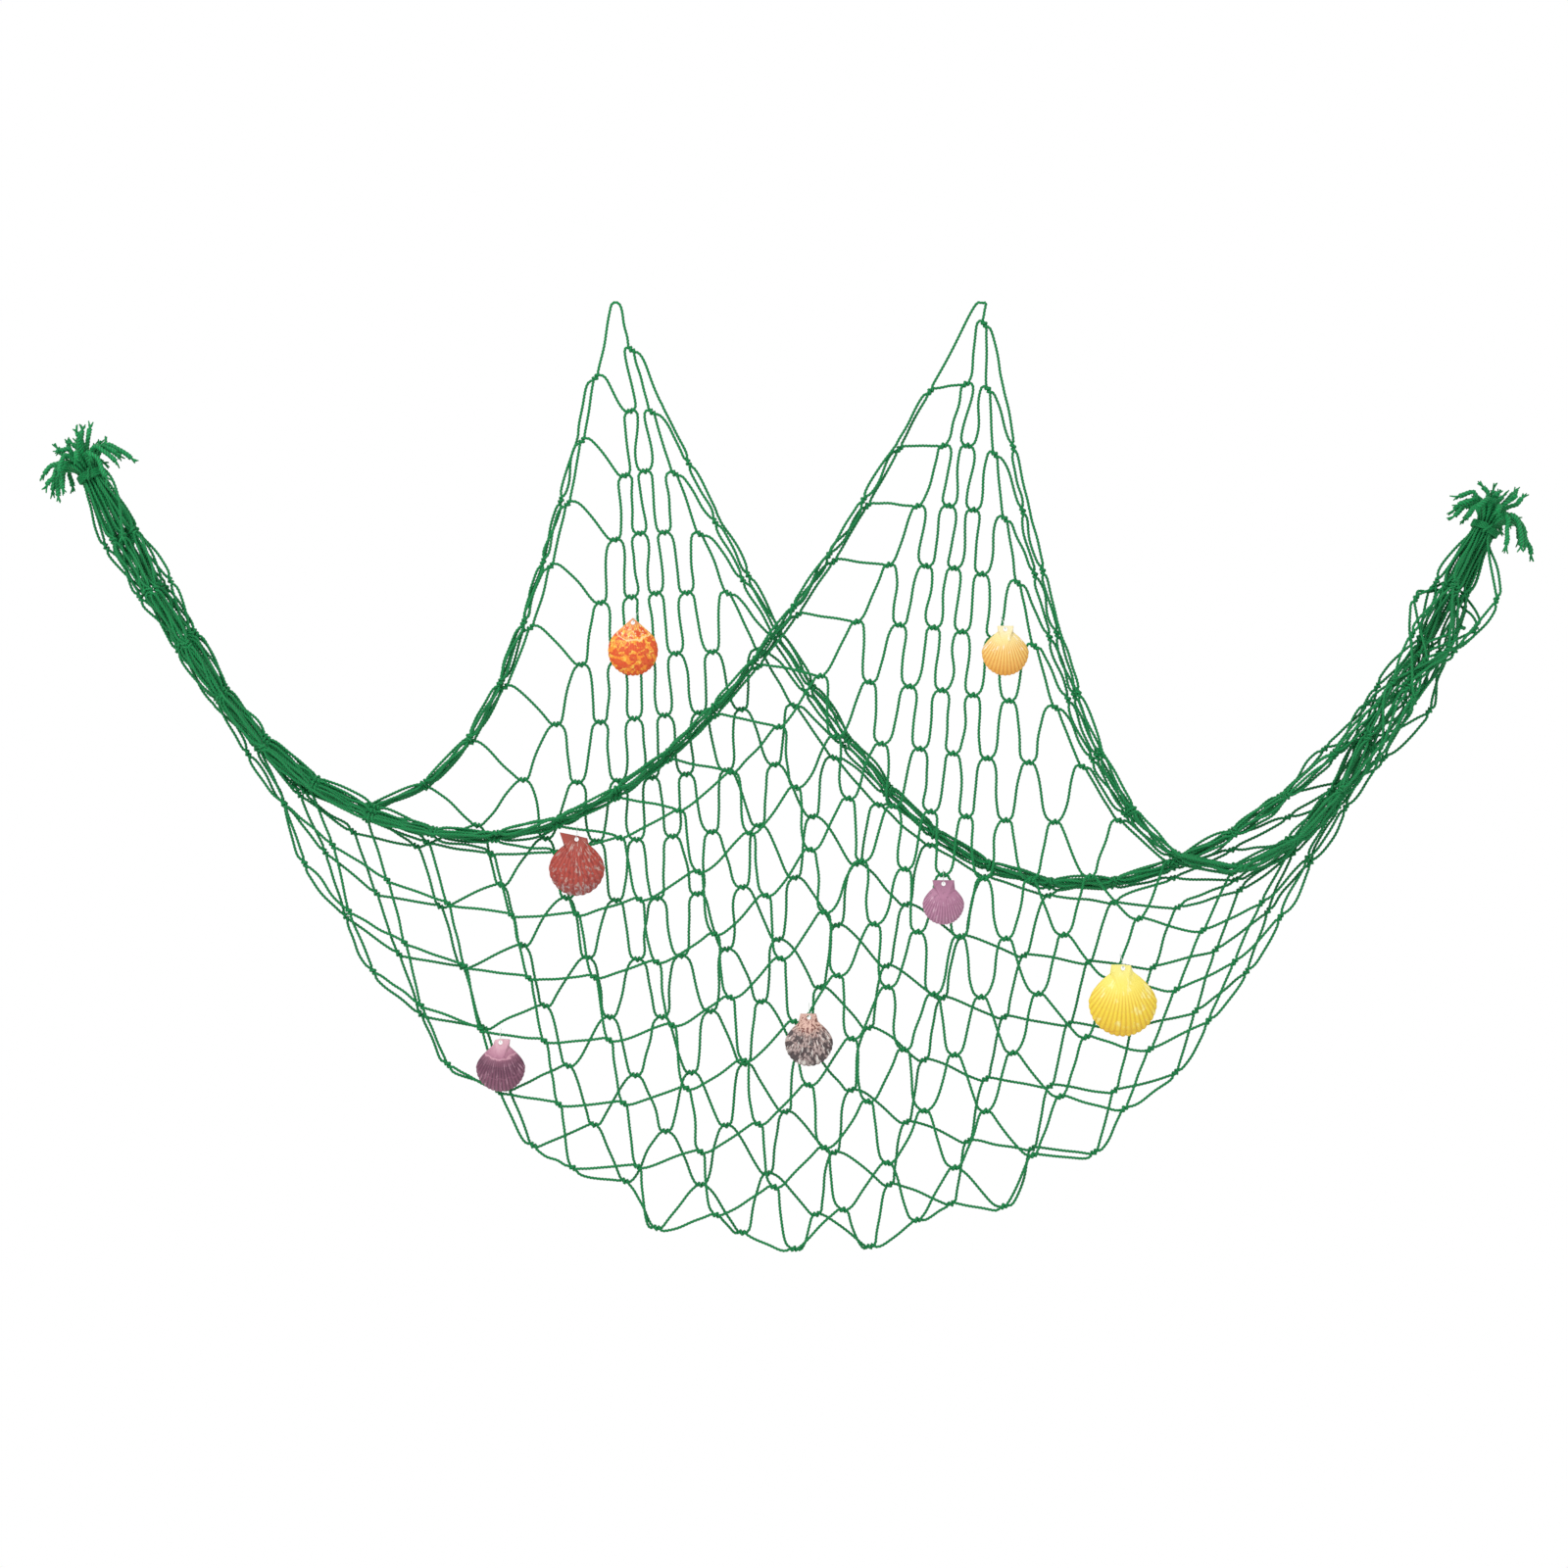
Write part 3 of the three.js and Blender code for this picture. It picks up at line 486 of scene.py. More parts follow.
def leg(start, end, leaving, arriving, pulls):
    """Twine between two knots, which leaves each in the direction that the knot gives it."""
    chord = end - start
    length = np.linalg.norm(chord)
    straight = chord / length
    ends = []
    wander = WANDER
    for direction, pull in ((leaving, pulls[0]), (arriving, pulls[1])):
        against = np.dot(direction, straight)
        if against < 0.1:
            direction = unit(direction + (0.25 - against) * straight)
        # A leg that goes nearly on from its knot goes straight, as in the gathered parts of the net.
        bent = smooth(math.acos(min(max(against, -1), 1)), *STRAIGHTENED)
        ends.append(unit(straight + (direction - straight) * bent) * pull * length)
        wander += (SLACK_WANDER - WANDER) * bent / 2
    line = hermite(start, end, *ends)
    t = np.linspace(0, 1, len(line))
    aside = np.array([-straight[2], 0, straight[0]])
    stray = sum(random.gauss(0, 1) * np.sin(math.pi * k * t) / k for k in (1, 2, 3, 4))
    return line + (stray * np.sin(math.pi * t) * wander)[:, None] * aside


def unit(vector):
    return vector / np.linalg.norm(vector)


def smooth(value, low, high):
    """0 below low, 1 above high, and a smooth step between."""
    share = min(max((value - low) / (high - low), 0), 1)
    return share * share * (3 - 2 * share)


def tassel(ends, outward):
    """A cut end's way from its tip to the lashing: it springs out of the bundle, then droops."""
    tip, bend = np.array(ends[0]), np.array(ends[1])
    heading = tip - bend
    length = np.linalg.norm(heading)
    straight = heading / length
    outward = np.array(outward)
    # The ends on the side that faces the net are the shorter ones.
    inner = straight[0] * (1 if outward[0] < 0 else -1)
    heading = heading * (1 - 0.35 * max(inner, 0))
    t = np.linspace(1, 0, 10)[:, None]
    aside = np.array([random.gauss(0, 1), random.gauss(0, 0.5), random.gauss(0, 1)])
    aside = aside - straight * np.dot(aside, straight)
    forward = max(-straight[1] - 0.25, 0)
    droop = -TASSEL_DROOP * length * (1 - np.dot(straight, outward) + 1.6 * forward) * outward
    line = bend + heading * t + droop * t**2.2 + aside * TASSEL_CURL * np.sin(2.6 * math.pi * t) * t
    return [*line, np.array(ends[2])]


def row_line(row):
    """The whole route of one row's twine, from its left cut end to its right cut end."""
    left, right = rows[row]["left"], rows[row]["right"]
    line = list(spline(tassel(left, bundles["left"][1]) + [np.array(left[3])], 4))
    tassel_ends = [tassel_length(line, left[2])]
    leaving = unit(np.array(left[3] - left[2]))
    pull = LEG_PULL
    for station in range(stations_count):
        through = passage(row, station)
        here = LEG_PULL if knotted(row, station) else FREE_PULL
        arriving = unit(through[1] - through[0])
        line.extend(leg(line[-1], through[0], leaving, arriving, (pull, here))[1:])
        line.extend(through[1:])
        leaving = unit(through[-1] - through[-2])
        pull = here
    arriving = unit(np.array(right[1] - right[0]))
    line.extend(leg(line[-1], np.array(right[0]), leaving, arriving, (pull, LEG_PULL))[1:])
    rest = spline([np.array(right[0])] + tassel(right[::-1], bundles["right"][1])[::-1], 4)
    tassel_ends.append(tassel_length(rest[::-1], right[1]))
    line.extend(rest[1:])
    line = np.array(line)
    line[:, 1] = np.minimum(line[:, 1], -WALL_GAP)
    return eased(evenly(line, TWINE_STEP)), tassel_ends


def tassel_length(line, root):
    """How much of a line lies before the point that is nearest to the root."""
    line = np.asarray(line)
    nearest = int(np.argmin(np.linalg.norm(line - np.array(root), axis=1)))
    return float(np.linalg.norm(np.diff(line[:nearest + 1], axis=0), axis=1).sum())


# ---- Materials ----

def new_material(name):
    material = bpy.data.materials.new(name)
    material.use_nodes = True
    nodes = material.node_tree.nodes
    nodes.clear()
    output = nodes.new("ShaderNodeOutputMaterial")
    shader = nodes.new("ShaderNodeBsdfPrincipled")
    material.node_tree.links.new(shader.outputs[0], output.inputs[0])
    return material, shader


class Graph:
    """Short names for a material's nodes."""

    def __init__(self, material):
        self.tree = material.node_tree

    def node(self, kind, inputs=(), **settings):
        made = self.tree.nodes.new(kind)
        for key, value in settings.items():
            setattr(made, key, value)
        for key, value in dict(inputs).items():
            self.put(made.inputs[key], value)
        return made

    def put(self, socket, value):
        if isinstance(value, bpy.types.NodeSocket):
            self.tree.links.new(value, socket)
        else:
            socket.default_value = value

    def value(self, name):
        return self.node("ShaderNodeAttribute", attribute_name=name).outputs["Fac"]

    def math(self, operation, a, b=0.0):
        return self.node("ShaderNodeMath", {0: a, 1: b}, operation=operation).outputs[0]

    def noise(self, scale, detail, vector=None, roughness=0.5):
        inputs = {"Scale": scale, "Detail": detail, "Roughness": roughness}
        inputs["Vector"] = vector or self.here()
        return self.node("ShaderNodeTexNoise", inputs).outputs["Fac"]

    def here(self):
        return self.node("ShaderNodeTexCoord").outputs["Object"]

    def ramp(self, value, stops):
        made = self.node("ShaderNodeValToRGB", {0: value})
        elements = made.color_ramp.elements
        while len(elements) < len(stops):
            elements.new(1.0)
        for element, (place, color) in zip(elements, stops):
            element.position = place
            element.color = color
        return made.outputs[0]

    def step(self, value, low, high):
        """0 at low, 1 at high, and a smooth step between; low may be above high."""
        inputs = {"Value": value, "From Min": low, "From Max": high}
        made = self.node("ShaderNodeMapRange", inputs, interpolation_type="SMOOTHSTEP")
        return made.outputs[0]

    def mix(self, share, a, b):
        made = self.node("ShaderNodeMix", data_type="RGBA")
        # A mix node has a socket of each kind: these are the share's and the two colours'.
        self.put(made.inputs[0], share)
        self.put(made.inputs[6], a)
        self.put(made.inputs[7], b)
        return made.outputs[2]

    def bump(self, height, distance, strength):
        inputs = {"Height": height, "Distance": distance, "Strength": strength}
        return self.node("ShaderNodeBump", inputs).outputs[0]


def srgb(red, green, blue):
    """A colour given as it looks on a screen, from 0 to 255, as light."""
    def light(value):
        value = value / 255
        return value / 12.92 if value <= 0.04045 else ((value + 0.055) / 1.055) ** 2.4
    return (light(red), light(green), light(blue), 1)


def twine_material():
    material, shader = new_material("green_twine")
    g = Graph(material)
    groove_shade = g.value("strand")
    tone = g.value("tone")
    fibres_and_glints = g.noise(900, 3)
    patches = g.noise(26, 2)
    # Painted shade: the grooves between the strands are coloured a near-black green.
    color = g.mix(groove_shade, srgb(6, 146, 76), srgb(0, 30, 20))
    # Fine flecks of a lighter green: the twine's loose fibres, and painted highlights as well.
    color = g.mix(g.math("MULTIPLY", fibres_and_glints, 0.3), color, srgb(36, 186, 104))
    worn = g.math("MULTIPLY", g.math("MULTIPLY", patches, tone), 0.6)
    color = g.mix(worn, color, srgb(4, 98, 58))
    g.put(shader.inputs["Base Color"], color)
    g.put(shader.inputs["Roughness"], g.math("ADD", g.math("MULTIPLY", fibres_and_glints, 0.25), 0.42))
    shader.inputs["Sheen Weight"].default_value = 0.03
    shader.inputs["Sheen Roughness"].default_value = 0.5
    shader.inputs["Specular IOR Level"].default_value = 0.22
    g.put(shader.inputs["Normal"], g.bump(fibres_and_glints, 0.25 * MM, 0.5))
    return material


green = twine_material()


def finish_twine(piece, *nodes):
    piece.data.materials.append(green)
    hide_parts(*nodes)
    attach(piece, "net")
    return piece


# ---- The loose tail of the left lashing ----

# In millimetres: right of and above the lashing's middle, and forward of the wall below zero.
TAIL_ROUTE = [
    (9.3, -38.5, 4.9), (16, -45, 4), (24, -47, -6), (30, -47.5, -24), (32, -47, -42), (33, -46.5, -58),
]

left_middle = bundles["left"][0]
tail_points = [
    Vector((left_middle.x + x * MM, y * MM, left_middle.z + z * MM)) for x, y, z in TAIL_ROUTE
]
tail_line = evenly(spline(tail_points, 8), TWINE_STEP)
tail = finish_twine(twine_piece("left_loose_tail", [laid_tube(tail_line)], 0.5), "left_lashing_tail")
tail_heading = tail_line[-1] - tail_line[-3]
tail_fray = twine_piece("left_tail_fray", frayed_end(tail_line[-1], tail_heading), 0.5)
tail_fray.data.materials.append(green)
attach(tail_fray, "net")


# ---- The net ----

def thickness_along(line, tassel_ends):
    """The share of a row's length at which its twine gets thinner or thicker, and how thick it is."""
    total = float(np.linalg.norm(np.diff(line, axis=0), axis=1).sum())
    left, right = (end / total for end in tassel_ends)
    flare, loose = TASSEL_THICKNESS * 1.15, TASSEL_THICKNESS
    return (
        [0, left * 0.3, left * 0.75, left, 1 - right, 1 - right * 0.75, 1 - right * 0.3, 1],
        [flare, loose, loose, 1, 1, loose, loose, flare],
    )


for row, node in enumerate(row_names):
    line, tassel_ends = row_line(row)
    tubes = [laid_tube(line, taper=thickness_along(line, tassel_ends))]
    tubes += frayed_end(line[0], line[0] - line[3])
    tubes += frayed_end(line[-1], line[-1] - line[-4])
    piece = twine_piece("laid_twine_" + node[-2:], tubes, random.random())
    finish_twine(piece, node)


# ---- The whipping round each gathered end ----

WHIPPING_TURNS = 4
TURN_STEPS = 28
HITCH_OUT = 1.9 * MM  # how far the hitch stands out from the turns' middle line
HITCH_PAST = 0.6 * MM  # how far it reaches past them at each end


def whipping(side):
    """Turns of twine round a bundle, with a hitch drawn across them at the front."""
    middle, outward, inside, length = bundles[side]
    forward = Vector((0, -1, 0))
    across = outward.cross(forward).normalized()
    reach = inside + TWINE_CREST * 0.9

    def place(turn, rise, far):
        spoke = forward * math.cos(turn) + across * math.sin(turn)
        return middle + outward * rise + spoke * far

    line = []
    for k in range(WHIPPING_TURNS * TURN_STEPS + 1):
        turn = 2 * math.pi * k / TURN_STEPS
        rise = (k / (WHIPPING_TURNS * TURN_STEPS) - 0.5) * (length - TWINE_DIAMETER)
        line.append(place(turn, rise, reach))
    low, high = -0.5 * length - HITCH_PAST, 0.5 * length + HITCH_PAST
    out = reach + HITCH_OUT
    hitch = [
        place(0.2, high, reach), place(0.12, high * 0.6, out), place(0, 0, out),
        place(-0.12, low * 0.6, out), place(-0.2, low, reach),
    ]
    tubes = [laid_tube(line), laid_tube(spline(hitch, 6))]
    return finish_twine(twine_piece(side + "_whipping", tubes, 0.4), side + "_lashing")


for side in ("left", "right"):
    whipping(side)


# ---- Scallop shells ----

# Each shell: its number of ribs, their height in millimetres, how far its flanks are drawn in, of its
# radius, how far down from the beak the ribs start, of its height, and its left and right ear. An ear
# is how far it reaches at the top, how far its corner stands above the hinge line, and how far it
# reaches at EAR_DEPTH below that line, in millimetres.
SHELLS = {
    "orange_shell": dict(ribs=21, relief=0.3, flank=0.00, smooth=0.20, ears=None),
    "cream_shell": dict(
        ribs=23, relief=0.6, flank=0.12, smooth=0.25,
        ears=((7.5, 0, 6.5), (8, 0, 7)),
    ),
    "red_shell": dict(
        ribs=17, relief=0.75, flank=0.07, smooth=0.08,
        ears=((16, 3.2, 12), (10, -2.4, 11)),
    ),
    "mauve_shell": dict(
        ribs=25, relief=0.6, flank=0.10, smooth=0.30,
        ears=((10.3, 0, 8.5), (10, 0, 11)),
    ),
    "yellow_shell": dict(
        ribs=26, relief=0.65, flank=0.11, smooth=0.28,
        ears=((10.8, 0, 12), (7.5, -0.8, 10.5)),
    ),
    "plum_shell": dict(
        ribs=25, relief=0.65, flank=0.12, smooth=0.30,
        ears=((5.5, -1.2, 8), (9, -0.6, 8)),
    ),
    "brown_shell": dict(
        ribs=20, relief=0.7, flank=0.10, smooth=0.12,
        ears=((8, 0, 10), (6.8, 0, 9)),
    ),
}
SHELL_WALL = 1.25 * MM
CAD_WALL = 1.6 * MM
BACK_GAP = 0.15 * MM  # between the shell's back edge and the back of its CAD solid
HOLE_RADIUS = 2 * MM
EAR_DROP = 1.4 * MM  # from the beak to the hinge line
EAR_DEPTH = 9 * MM
EAR_SPAN = 1.1  # radians from straight up within which an ear is looked for
HINGE_SPAN = 0.9  # the same within which nothing but an ear stands above the hinge line
WAIST_END = 1.5  # radians from straight up to where the drawn-in flank meets the disc
OUTLINE_STEPS = 4001
AROUND = 360
ACROSS = 46


def joint_place(name):
    """Where a joint of the CAD is."""
    return Vector(next(j["pos_m"] for j in frame["joints"] if j["name"] == name))


def line_at(angles, one, other):
    """Distance from the origin to the line through two points, at angles from straight up."""
    dx, dz = other[0] - one[0], other[1] - one[1]
    under = np.sin(angles) * dz - np.cos(angles) * dx
    return (one[0] * dz - one[1] * dx) / np.where(np.abs(under) < 1e-9, 1e-9, under)


def outline(angles, radius, beak, style):
    """Distance from the disc's middle to the shell's edge, at angles from straight up."""
    away = np.abs(angles)
    shoulder = math.acos(min(radius / beak, 1))
    disc = np.where(away < shoulder, radius / np.cos(np.maximum(shoulder - away, 0)), radius)
    waist = np.clip(away / WAIST_END, 0, 1)
    disc = disc - np.sin(math.pi * waist) * style["flank"] * radius
    if style["ears"] is None:
        return disc
    top = beak - EAR_DROP
    eared = np.zeros_like(disc)
    for side, (reach, rise, low_reach) in zip((-1, 1), style["ears"]):
        corner = (reach * MM, top + rise * MM)
        low = (low_reach * MM, top - EAR_DEPTH)
        hinge = line_at(away, (0, top), corner)
        flank = line_at(away, corner, low)
        ear = np.where(away < math.atan2(*corner), hinge, flank)
        ear = np.where((np.sign(angles) == side) & (away < EAR_SPAN), ear, 0)
        eared = np.maximum(eared, ear)
    eared = np.where(away == 0, top, eared)
    whole = np.maximum(disc, eared)
    return np.where((away < HINGE_SPAN) & (eared > 0), np.minimum(whole, np.maximum(eared, top)), whole)


def scallop(name, style):
    """One shell: its ribbed face, its cupped back and the hole between them, in its CAD solid's box."""
    low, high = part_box(name)
    hole = joint_place(name + "_swing")
    radius = (high.x - low.x) / 2
    height = high.z - low.z
    beak = height - radius
    dome = high.y - low.y - CAD_WALL
    middle = Vector(((low.x + high.x) / 2, 0, high.z - beak))

    # Polar places about the hole: the inmost ring is the hole's edge, the outermost the shell's edge.
    fine = np.linspace(-math.pi, math.pi, OUTLINE_STEPS)
    edge = outline(fine, radius, beak, style)
    edge_x = middle.x + np.sin(fine) * edge - hole.x
    edge_z = middle.z + np.cos(fine) * edge - hole.z
    bearing = np.unwrap(np.arctan2(edge_x, edge_z))
    distance = np.hypot(edge_x, edge_z)
    order = np.argsort(bearing)
    # More spokes run downwards, where the ribs are.
    spokes = np.linspace(-math.pi, math.pi, AROUND, endpoint=False)
    spokes = spokes + 0.35 * np.sin(spokes)
    reach = np.interp(spokes, bearing[order], distance[order], period=2 * math.pi)
    # The rings lie closer together towards the edge.
    share = np.linspace(0, 1, ACROSS)[:, None] ** 0.8
    far = HOLE_RADIUS + (reach[None, :] - HOLE_RADIUS) * share
    x = far * np.sin(spokes)
    z = far * np.cos(spokes)

    # Places about the beak, where the ribs start, and about the disc's middle, for the dome.
    down = high.z - hole.z - z
    right = x - (middle.x - hole.x)
    above = z - (middle.z - hole.z)
    fan = np.arctan2(right, np.maximum(down, 1e-5))
    widest = math.asin(min(radius / beak, 1))
    out = np.hypot(x, down) / height
    from_middle = np.hypot(right, above)
    turn = np.arctan2(right, above)
    limit = np.interp(turn, fine, edge)
    inward = np.clip(from_middle / limit, 0, 1)
    bulge = dome * (1 - inward**2)

    # The ribs spread from the beak and get higher away from it; growth lines run across them.
    in_fan = np.clip((widest - np.abs(fan)) / 0.06, 0, 1)
    phase = fan / widest * style["ribs"] / 2
    ribs = np.abs(np.cos(math.pi * phase)) ** 0.7
    rib_height = style["relief"] * MM * np.clip((out - style["smooth"]) * 2.6, 0, 1) * in_fan
    growth = 0.5 + 0.5 * np.sin(out * 46 + 1.3 * np.sin(out * 17))
    lines = 0.07 * MM * growth * (0.3 + out)
    # At the edge the ribs stand out and the grooves stand back.
    scalloped = 1 + 0.02 * (ribs - 0.6) * in_fan * share**6
    x, z = x * scalloped, z * scalloped

    inner = high.y - bulge - BACK_GAP - rib_height * (ribs - 1) * -0.5
    outer = high.y - bulge - BACK_GAP - SHELL_WALL - rib_height * ribs - lines
    # The wall gets thinner at its outer edge.
    thin = 1 - 0.45 * np.clip(share - 0.9, 0, 0.1) * 10
    outer = inner + (outer - inner) * thin

    sheets = []
    for depth in (outer, inner):
        sheets.append(np.stack([x + hole.x, depth, z + hole.z], axis=-1))
    front, back = sheets[0], sheets[1][::-1]
    grid = np.concatenate([front, back])
    rings = len(grid)
    ring = np.arange(rings)[:, None] * AROUND
    after_ring = (np.arange(rings)[:, None] + 1) % rings * AROUND
    k = np.arange(AROUND)[None, :]
    after = (k + 1) % AROUND
    faces = np.stack([ring + k, after_ring + k, after_ring + after, ring + after], axis=-1)
    faces = faces.reshape(-1, 4)

    def both(value, back_value=None):
        """A value on the corners of the face and, the same or another, on those of the back."""
        value = np.broadcast_to(value, x.shape)
        return np.concatenate([value, (value if back_value is None else back_value)[::-1]]).ravel()

    values = {
        "rib": both(ribs * in_fan),
        "out": both(out),
        "fan": both(fan / widest),
        "growth": both(growth),
        "inside": both(np.zeros_like(x), np.ones_like(x)),
    }
    piece = piece_of(name.replace("shell", "scallop"), grid.reshape(-1, 3), faces, values)
    bpy.context.view_layer.update()
    shape = bmesh.new()
    shape.from_mesh(piece.data)
    bmesh.ops.recalc_face_normals(shape, faces=shape.faces)
    shape.to_mesh(piece.data)
    shape.free()
    # The bake map has the face on its left half and the back on its right half.
    places = grid.reshape(-1, 3)[:, [0, 2]]
    places = (places - places.min(axis=0)) / np.ptp(places, axis=0).max()
    uv = places[faces.ravel()] * (0.48, 0.96) + (0.01, 0.02)
    behind = np.repeat(faces.min(axis=1) >= len(front) * AROUND - AROUND, 4)
    uv[behind, 0] += 0.5
    piece.data.uv_layers.new(name="OFBake").data.foreach_set("uv", uv.astype(np.float32).ravel())
    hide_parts(name)
    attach(piece, name)
    return piece


# How each shell is coloured. ground: colours from the beak (0) to the lower edge (1). The grooves'
# entry: painted shade in the grooves between the ribs, with its colour, how strong it is and where it
# starts. patches: colour, how many patches across and down, how rare and how sharp they are, and where
# they start and end. arcs: colour, strength, place.
LOOKS = {
    "orange_shell": dict(
        ground=[
            (0, (226, 150, 110)),
            (0.2, (240, 150, 70)),
            (0.45, (250, 158, 40)),
            (1, (248, 140, 30)),
        ],
        groove_shade=((225, 100, 25), 0.35, 0.3),
        patches=[
            ((252, 208, 80), 13, 11, 0.50, 0.07, 0.1, 1.1),
            ((220, 62, 12), 9, 9, 0.47, 0.05, 0.12, 1.1),
            ((206, 60, 20), 24, 16, 0.58, 0.05, 0.3, 1.1),
            ((252, 226, 180), 16, 22, 0.55, 0.06, 0.12, 0.42),
        ],
        arcs=[((250, 222, 160), 0.75, 0.40)],
    ),
    "cream_shell": dict(
        ground=[
            (0, (253, 240, 205)),
            (0.3, (250, 224, 150)),
            (0.65, (248, 205, 110)),
            (1, (244, 170, 62)),
        ],
        groove_shade=((222, 140, 50), 0.95, 0.3),
        patches=[((255, 240, 205), 12, 5, 0.56, 0.1, 0.1, 0.7)],
        arcs=[((238, 178, 90), 0.3, 0.8)],
    ),
    "red_shell": dict(
        ground=[(0, (140, 70, 60)), (0.3, (176, 62, 46)), (0.75, (178, 66, 52)), (1, (146, 64, 58))],
        groove_shade=((120, 40, 36), 0.55, 0.15),
        patches=[
            ((190, 158, 148), 13, 5, 0.58, 0.05, 0.1, 0.9),
            ((176, 140, 134), 34, 14, 0.58, 0.05, 0.2, 0.8),
            ((180, 160, 158), 40, 18, 0.50, 0.06, 0.8, 1.1),
            ((150, 44, 36), 20, 9, 0.56, 0.06, 0.2, 1.1),
        ],
        arcs=[((150, 70, 62), 0.5, 0.93)],
    ),
    "mauve_shell": dict(
        ground=[(0, (156, 104, 132)), (0.4, (178, 120, 150)), (1, (186, 130, 160))],
        groove_shade=((132, 82, 110), 0.85, 0.36),
        patches=[
            ((214, 172, 192), 30, 5, 0.58, 0.06, 0.4, 1.1),
            ((150, 98, 126), 12, 8, 0.56, 0.1, 0, 0.6),
        ],
        arcs=[((160, 104, 134), 0.4, 0.62)],
    ),
    "yellow_shell": dict(
        ground=[
            (0, (253, 242, 150)),
            (0.3, (252, 232, 104)),
            (0.7, (251, 222, 62)),
            (1, (246, 204, 50)),
        ],
        groove_shade=((222, 166, 36), 0.9, 0.32),
        patches=[
            ((255, 244, 150), 12, 5, 0.55, 0.08, 0.1, 0.9),
            ((226, 164, 44), 22, 30, 0.54, 0.06, 0.9, 1.1),
        ],
        arcs=[((240, 206, 70), 0.4, 0.66), ((228, 178, 50), 0.4, 0.93)],
    ),
    "plum_shell": dict(
        ground=[
            (0, (226, 184, 192)), (0.22, (204, 150, 168)), (0.34, (180, 120, 144)), (0.46, (130, 76, 100)),
            (0.62, (114, 62, 88)), (0.85, (136, 80, 106)), (1, (146, 90, 116)),
        ],
        groove_shade=((66, 32, 52), 0.85, 0.36),
        patches=[((176, 128, 148), 30, 4, 0.56, 0.08, 0.45, 1.1)],
        arcs=[((214, 160, 176), 0.7, 0.40), ((86, 46, 68), 0.5, 0.56), ((146, 92, 116), 0.5, 0.76)],
    ),
    "brown_shell": dict(
        ground=[
            (0, (214, 170, 158)),
            (0.3, (224, 184, 168)),
            (0.48, (196, 172, 166)),
            (1, (180, 162, 160)),
        ],
        groove_shade=((96, 76, 76), 0.5, 0.3),
        patches=[
            ((116, 52, 44), 14, 18, 0.52, 0.05, 0.05, 0.5),
            ((48, 40, 46), 13, 5, 0.48, 0.05, 0.42, 1.1),
            ((66, 46, 48), 36, 16, 0.52, 0.05, 0.3, 1.1),
            ((232, 224, 218), 26, 6, 0.57, 0.05, 0.4, 1.1),
        ],
        arcs=[((206, 178, 170), 0.5, 0.62)],
    ),
}


def shell_tint(tint):
    """A colour as the shell shows it in the studio light, which is brighter than a full white."""
    return (*(c * 0.74 for c in srgb(*tint)[:3]), 1)


def shell_material(name, look, seed):
    """A shell's colours by how far out and how far round a point is, and a pale glossy inside."""
    material, shader = new_material(name)
    g = Graph(material)
    rib, out, fan, inside = (g.value(key) for key in ("rib", "out", "fan", "inside"))
    wobble = g.math("SUBTRACT", g.noise(230, 3), 0.5)
    place = g.math("ADD", out, g.math("MULTIPLY", wobble, 0.14))
    color = g.ramp(place, [(at, shell_tint(tint)) for at, tint in look["ground"]])
    for k, (tint, across, down, rare, sharp, start, end) in enumerate(look["patches"]):
        spot = g.node("ShaderNodeCombineXYZ", {
            0: g.math("MULTIPLY", fan, across / 2),
            1: g.math("MULTIPLY", out, down),
            2: seed * 7.3 + k * 3.1,  # elsewhere in the noise for each shell and layer
        }).outputs[0]
        share = g.step(g.noise(1, 3, spot, 0.6), rare, rare + sharp)
        share = g.math("MULTIPLY", share, g.step(place, start, start + 0.08))
        share = g.math("MULTIPLY", share, g.step(place, end, end - 0.08))
        color = g.mix(g.math("MULTIPLY", share, 0.9), color, shell_tint(tint))
    # Painted shade: the grooves between the ribs are darkened from where they start outwards.
    tint, strength, start = look["groove_shade"]
    share = g.math("MULTIPLY", g.math("SUBTRACT", 1, rib), g.step(out, start, start + 0.25))
    color = g.mix(g.math("MULTIPLY", share, strength), color, shell_tint(tint))
    for tint, strength, at in look["arcs"]:
        off = g.math("ABSOLUTE", g.math("SUBTRACT", place, at))
        color = g.mix(g.math("MULTIPLY", g.step(off, 0.022, 0.006), strength), color, shell_tint(tint))
    # The inside is pale, with some of the lower edge's colour towards the edge.
    lower = look["ground"][-1][1]
    pearl = g.ramp(place, [
        (0.3, srgb(248, 242, 238)),
        (0.9, srgb(*[(c + 2 * 240) / 3 for c in lower])),
        (1, srgb(*[(c + 240) / 2 for c in lower])),
    ])
    color = g.mix(inside, color, pearl)
    g.put(shader.inputs["Base Color"], color)
    grain = g.noise(1500, 3)
    rough = g.math("ADD", g.math("MULTIPLY", grain, 0.2), 0.42)
    g.put(shader.inputs["Roughness"], g.math("SUBTRACT", rough, g.math("MULTIPLY", inside, 0.3)))
    shader.inputs["Specular IOR Level"].default_value = 0.45
    fine = g.math("MULTIPLY", g.math("SUBTRACT", 1, inside), grain)
    g.put(shader.inputs["Normal"], g.bump(fine, 0.12 * MM, 0.6))
    return material


for seed, (name, style) in enumerate(SHELLS.items()):
    piece = scallop(name, style)
    piece.data.materials.append(shell_material(name, LOOKS[name], seed))


# ---- The clear line that ties each shell ----

def line_material():
    material, shader = new_material("clear_line")
    shader.inputs["Base Color"].default_value = srgb(225, 235, 228)
    shader.inputs["Roughness"].default_value = 0.2
    shader.inputs["Transmission Weight"].default_value = 0.6
    shader.inputs["IOR"].default_value = 1.5
    return material


clear = line_material()


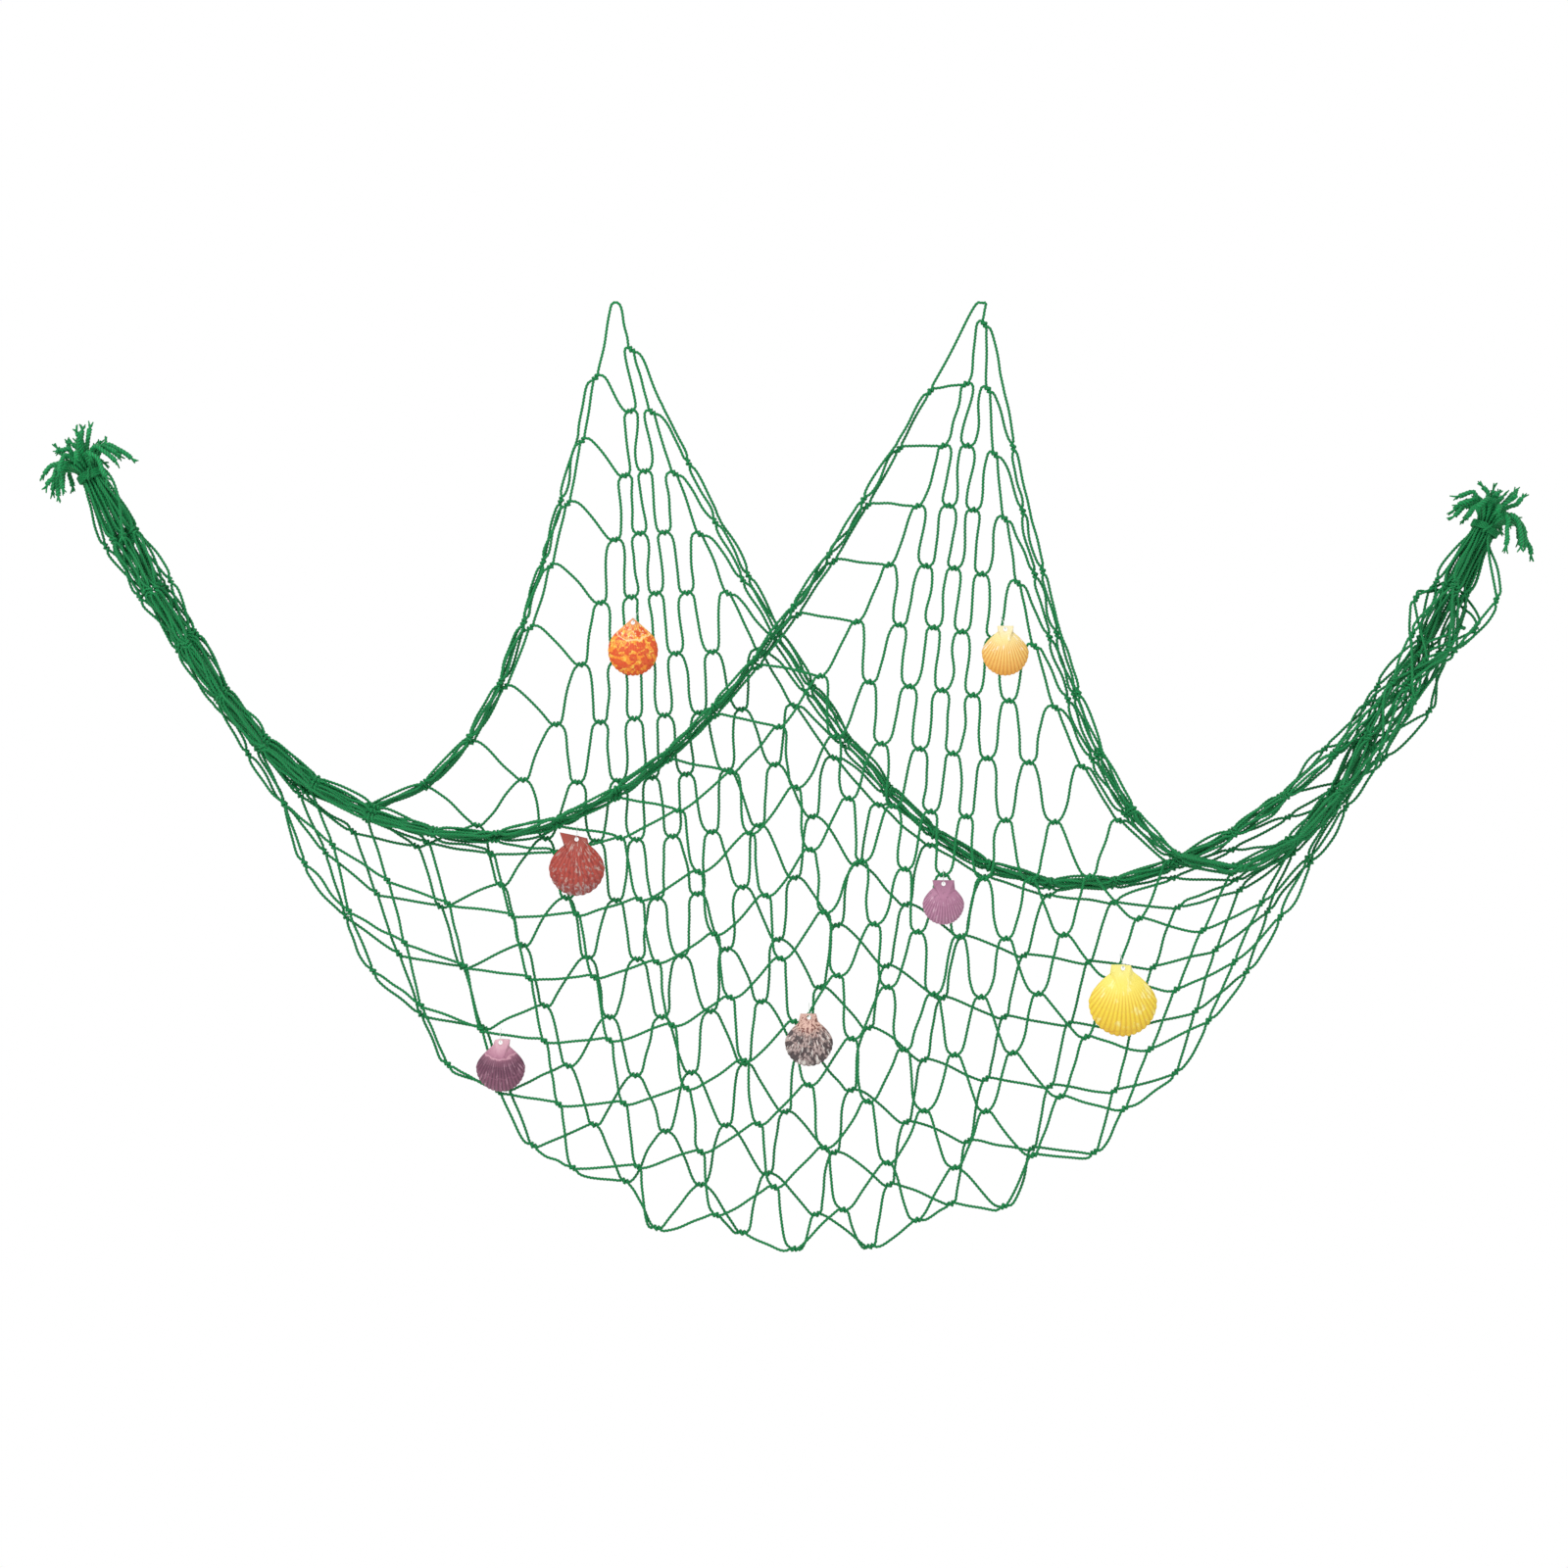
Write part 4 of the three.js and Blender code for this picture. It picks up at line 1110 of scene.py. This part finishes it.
def shell_line(name):
    """A closed loop round the net's twine and through the shell's hole."""
    pivot = joint_place(name + "_lift")
    hole = joint_place(name + "_swing")
    lean = math.atan2(pivot.x - hole.x, pivot.z - hole.z)
    upright = Quaternion((0, 1, 0), -lean)
    local = upright @ (hole - pivot)
    reach = Vector((0, local.y, local.z + LINE_REACH))
    loop = []
    steps = 40
    for k in range(steps):
        turn = 2 * math.pi * k / steps
        bend = Vector((0, math.sin(turn), math.cos(turn))) * LINE_REACH
        if bend.dot(reach) > 0:
            bend += reach
        loop.append(pivot + upright.inverted() @ bend)
    return loop


for name in SHELLS:
    loop = shell_line(name)
    points = evenly(loop + loop[:1], LINE_STEP)
    tube = laid_tube(points, (CLEAR_LINE, CLEAR_LINE), lay=1.0, step=LINE_STEP)
    piece = piece_of(name + "_line", tube["verts"], tube["faces"])
    piece.data.materials.append(clear)
    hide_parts(name + "_tie")
    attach(piece, name + "_tie")


# ---- Floor and light ----

def floor():
    """The pale floor under the net."""
    mesh = bpy.data.meshes.new("floor")
    half, front, back, depth = 3.0, -3.6, 1.0, -1.45
    corners = [(-half, front, depth), (half, front, depth), (half, back, depth), (-half, back, depth)]
    mesh.from_pydata(corners, [], [(0, 1, 2, 3)])
    piece = bpy.data.objects.new("floor", mesh)
    bpy.context.scene.collection.objects.link(piece)
    material, shader = new_material("pale_floor")
    shader.inputs["Base Color"].default_value = (0.85, 0.85, 0.84, 1)
    shader.inputs["Roughness"].default_value = 0.8
    mesh.materials.append(material)


def area_light(name, place, target, size, power):
    data = bpy.data.lights.new(name, "AREA")
    data.size = size
    data.energy = power
    light = bpy.data.objects.new(name, data)
    light.location = place
    aim = Vector(target) - Vector(place)
    light.rotation_euler = aim.to_track_quat("-Z", "Y").to_euler()
    bpy.context.scene.collection.objects.link(light)


floor()
area_light("key", (-1.6, -2.4, 1.4), (0, 0, -0.45), 1.0, 60)
area_light("fill", (1.9, -2.2, 0.2), (0, 0, -0.45), 2.0, 10)
bpy.context.scene.view_settings.view_transform = "Standard"
world = bpy.data.worlds.new("white_room")
bpy.context.scene.world = world
world.use_nodes = True
world.node_tree.nodes["Background"].inputs[0].default_value = (1, 1, 1, 1)
world.node_tree.nodes["Background"].inputs[1].default_value = 1.0
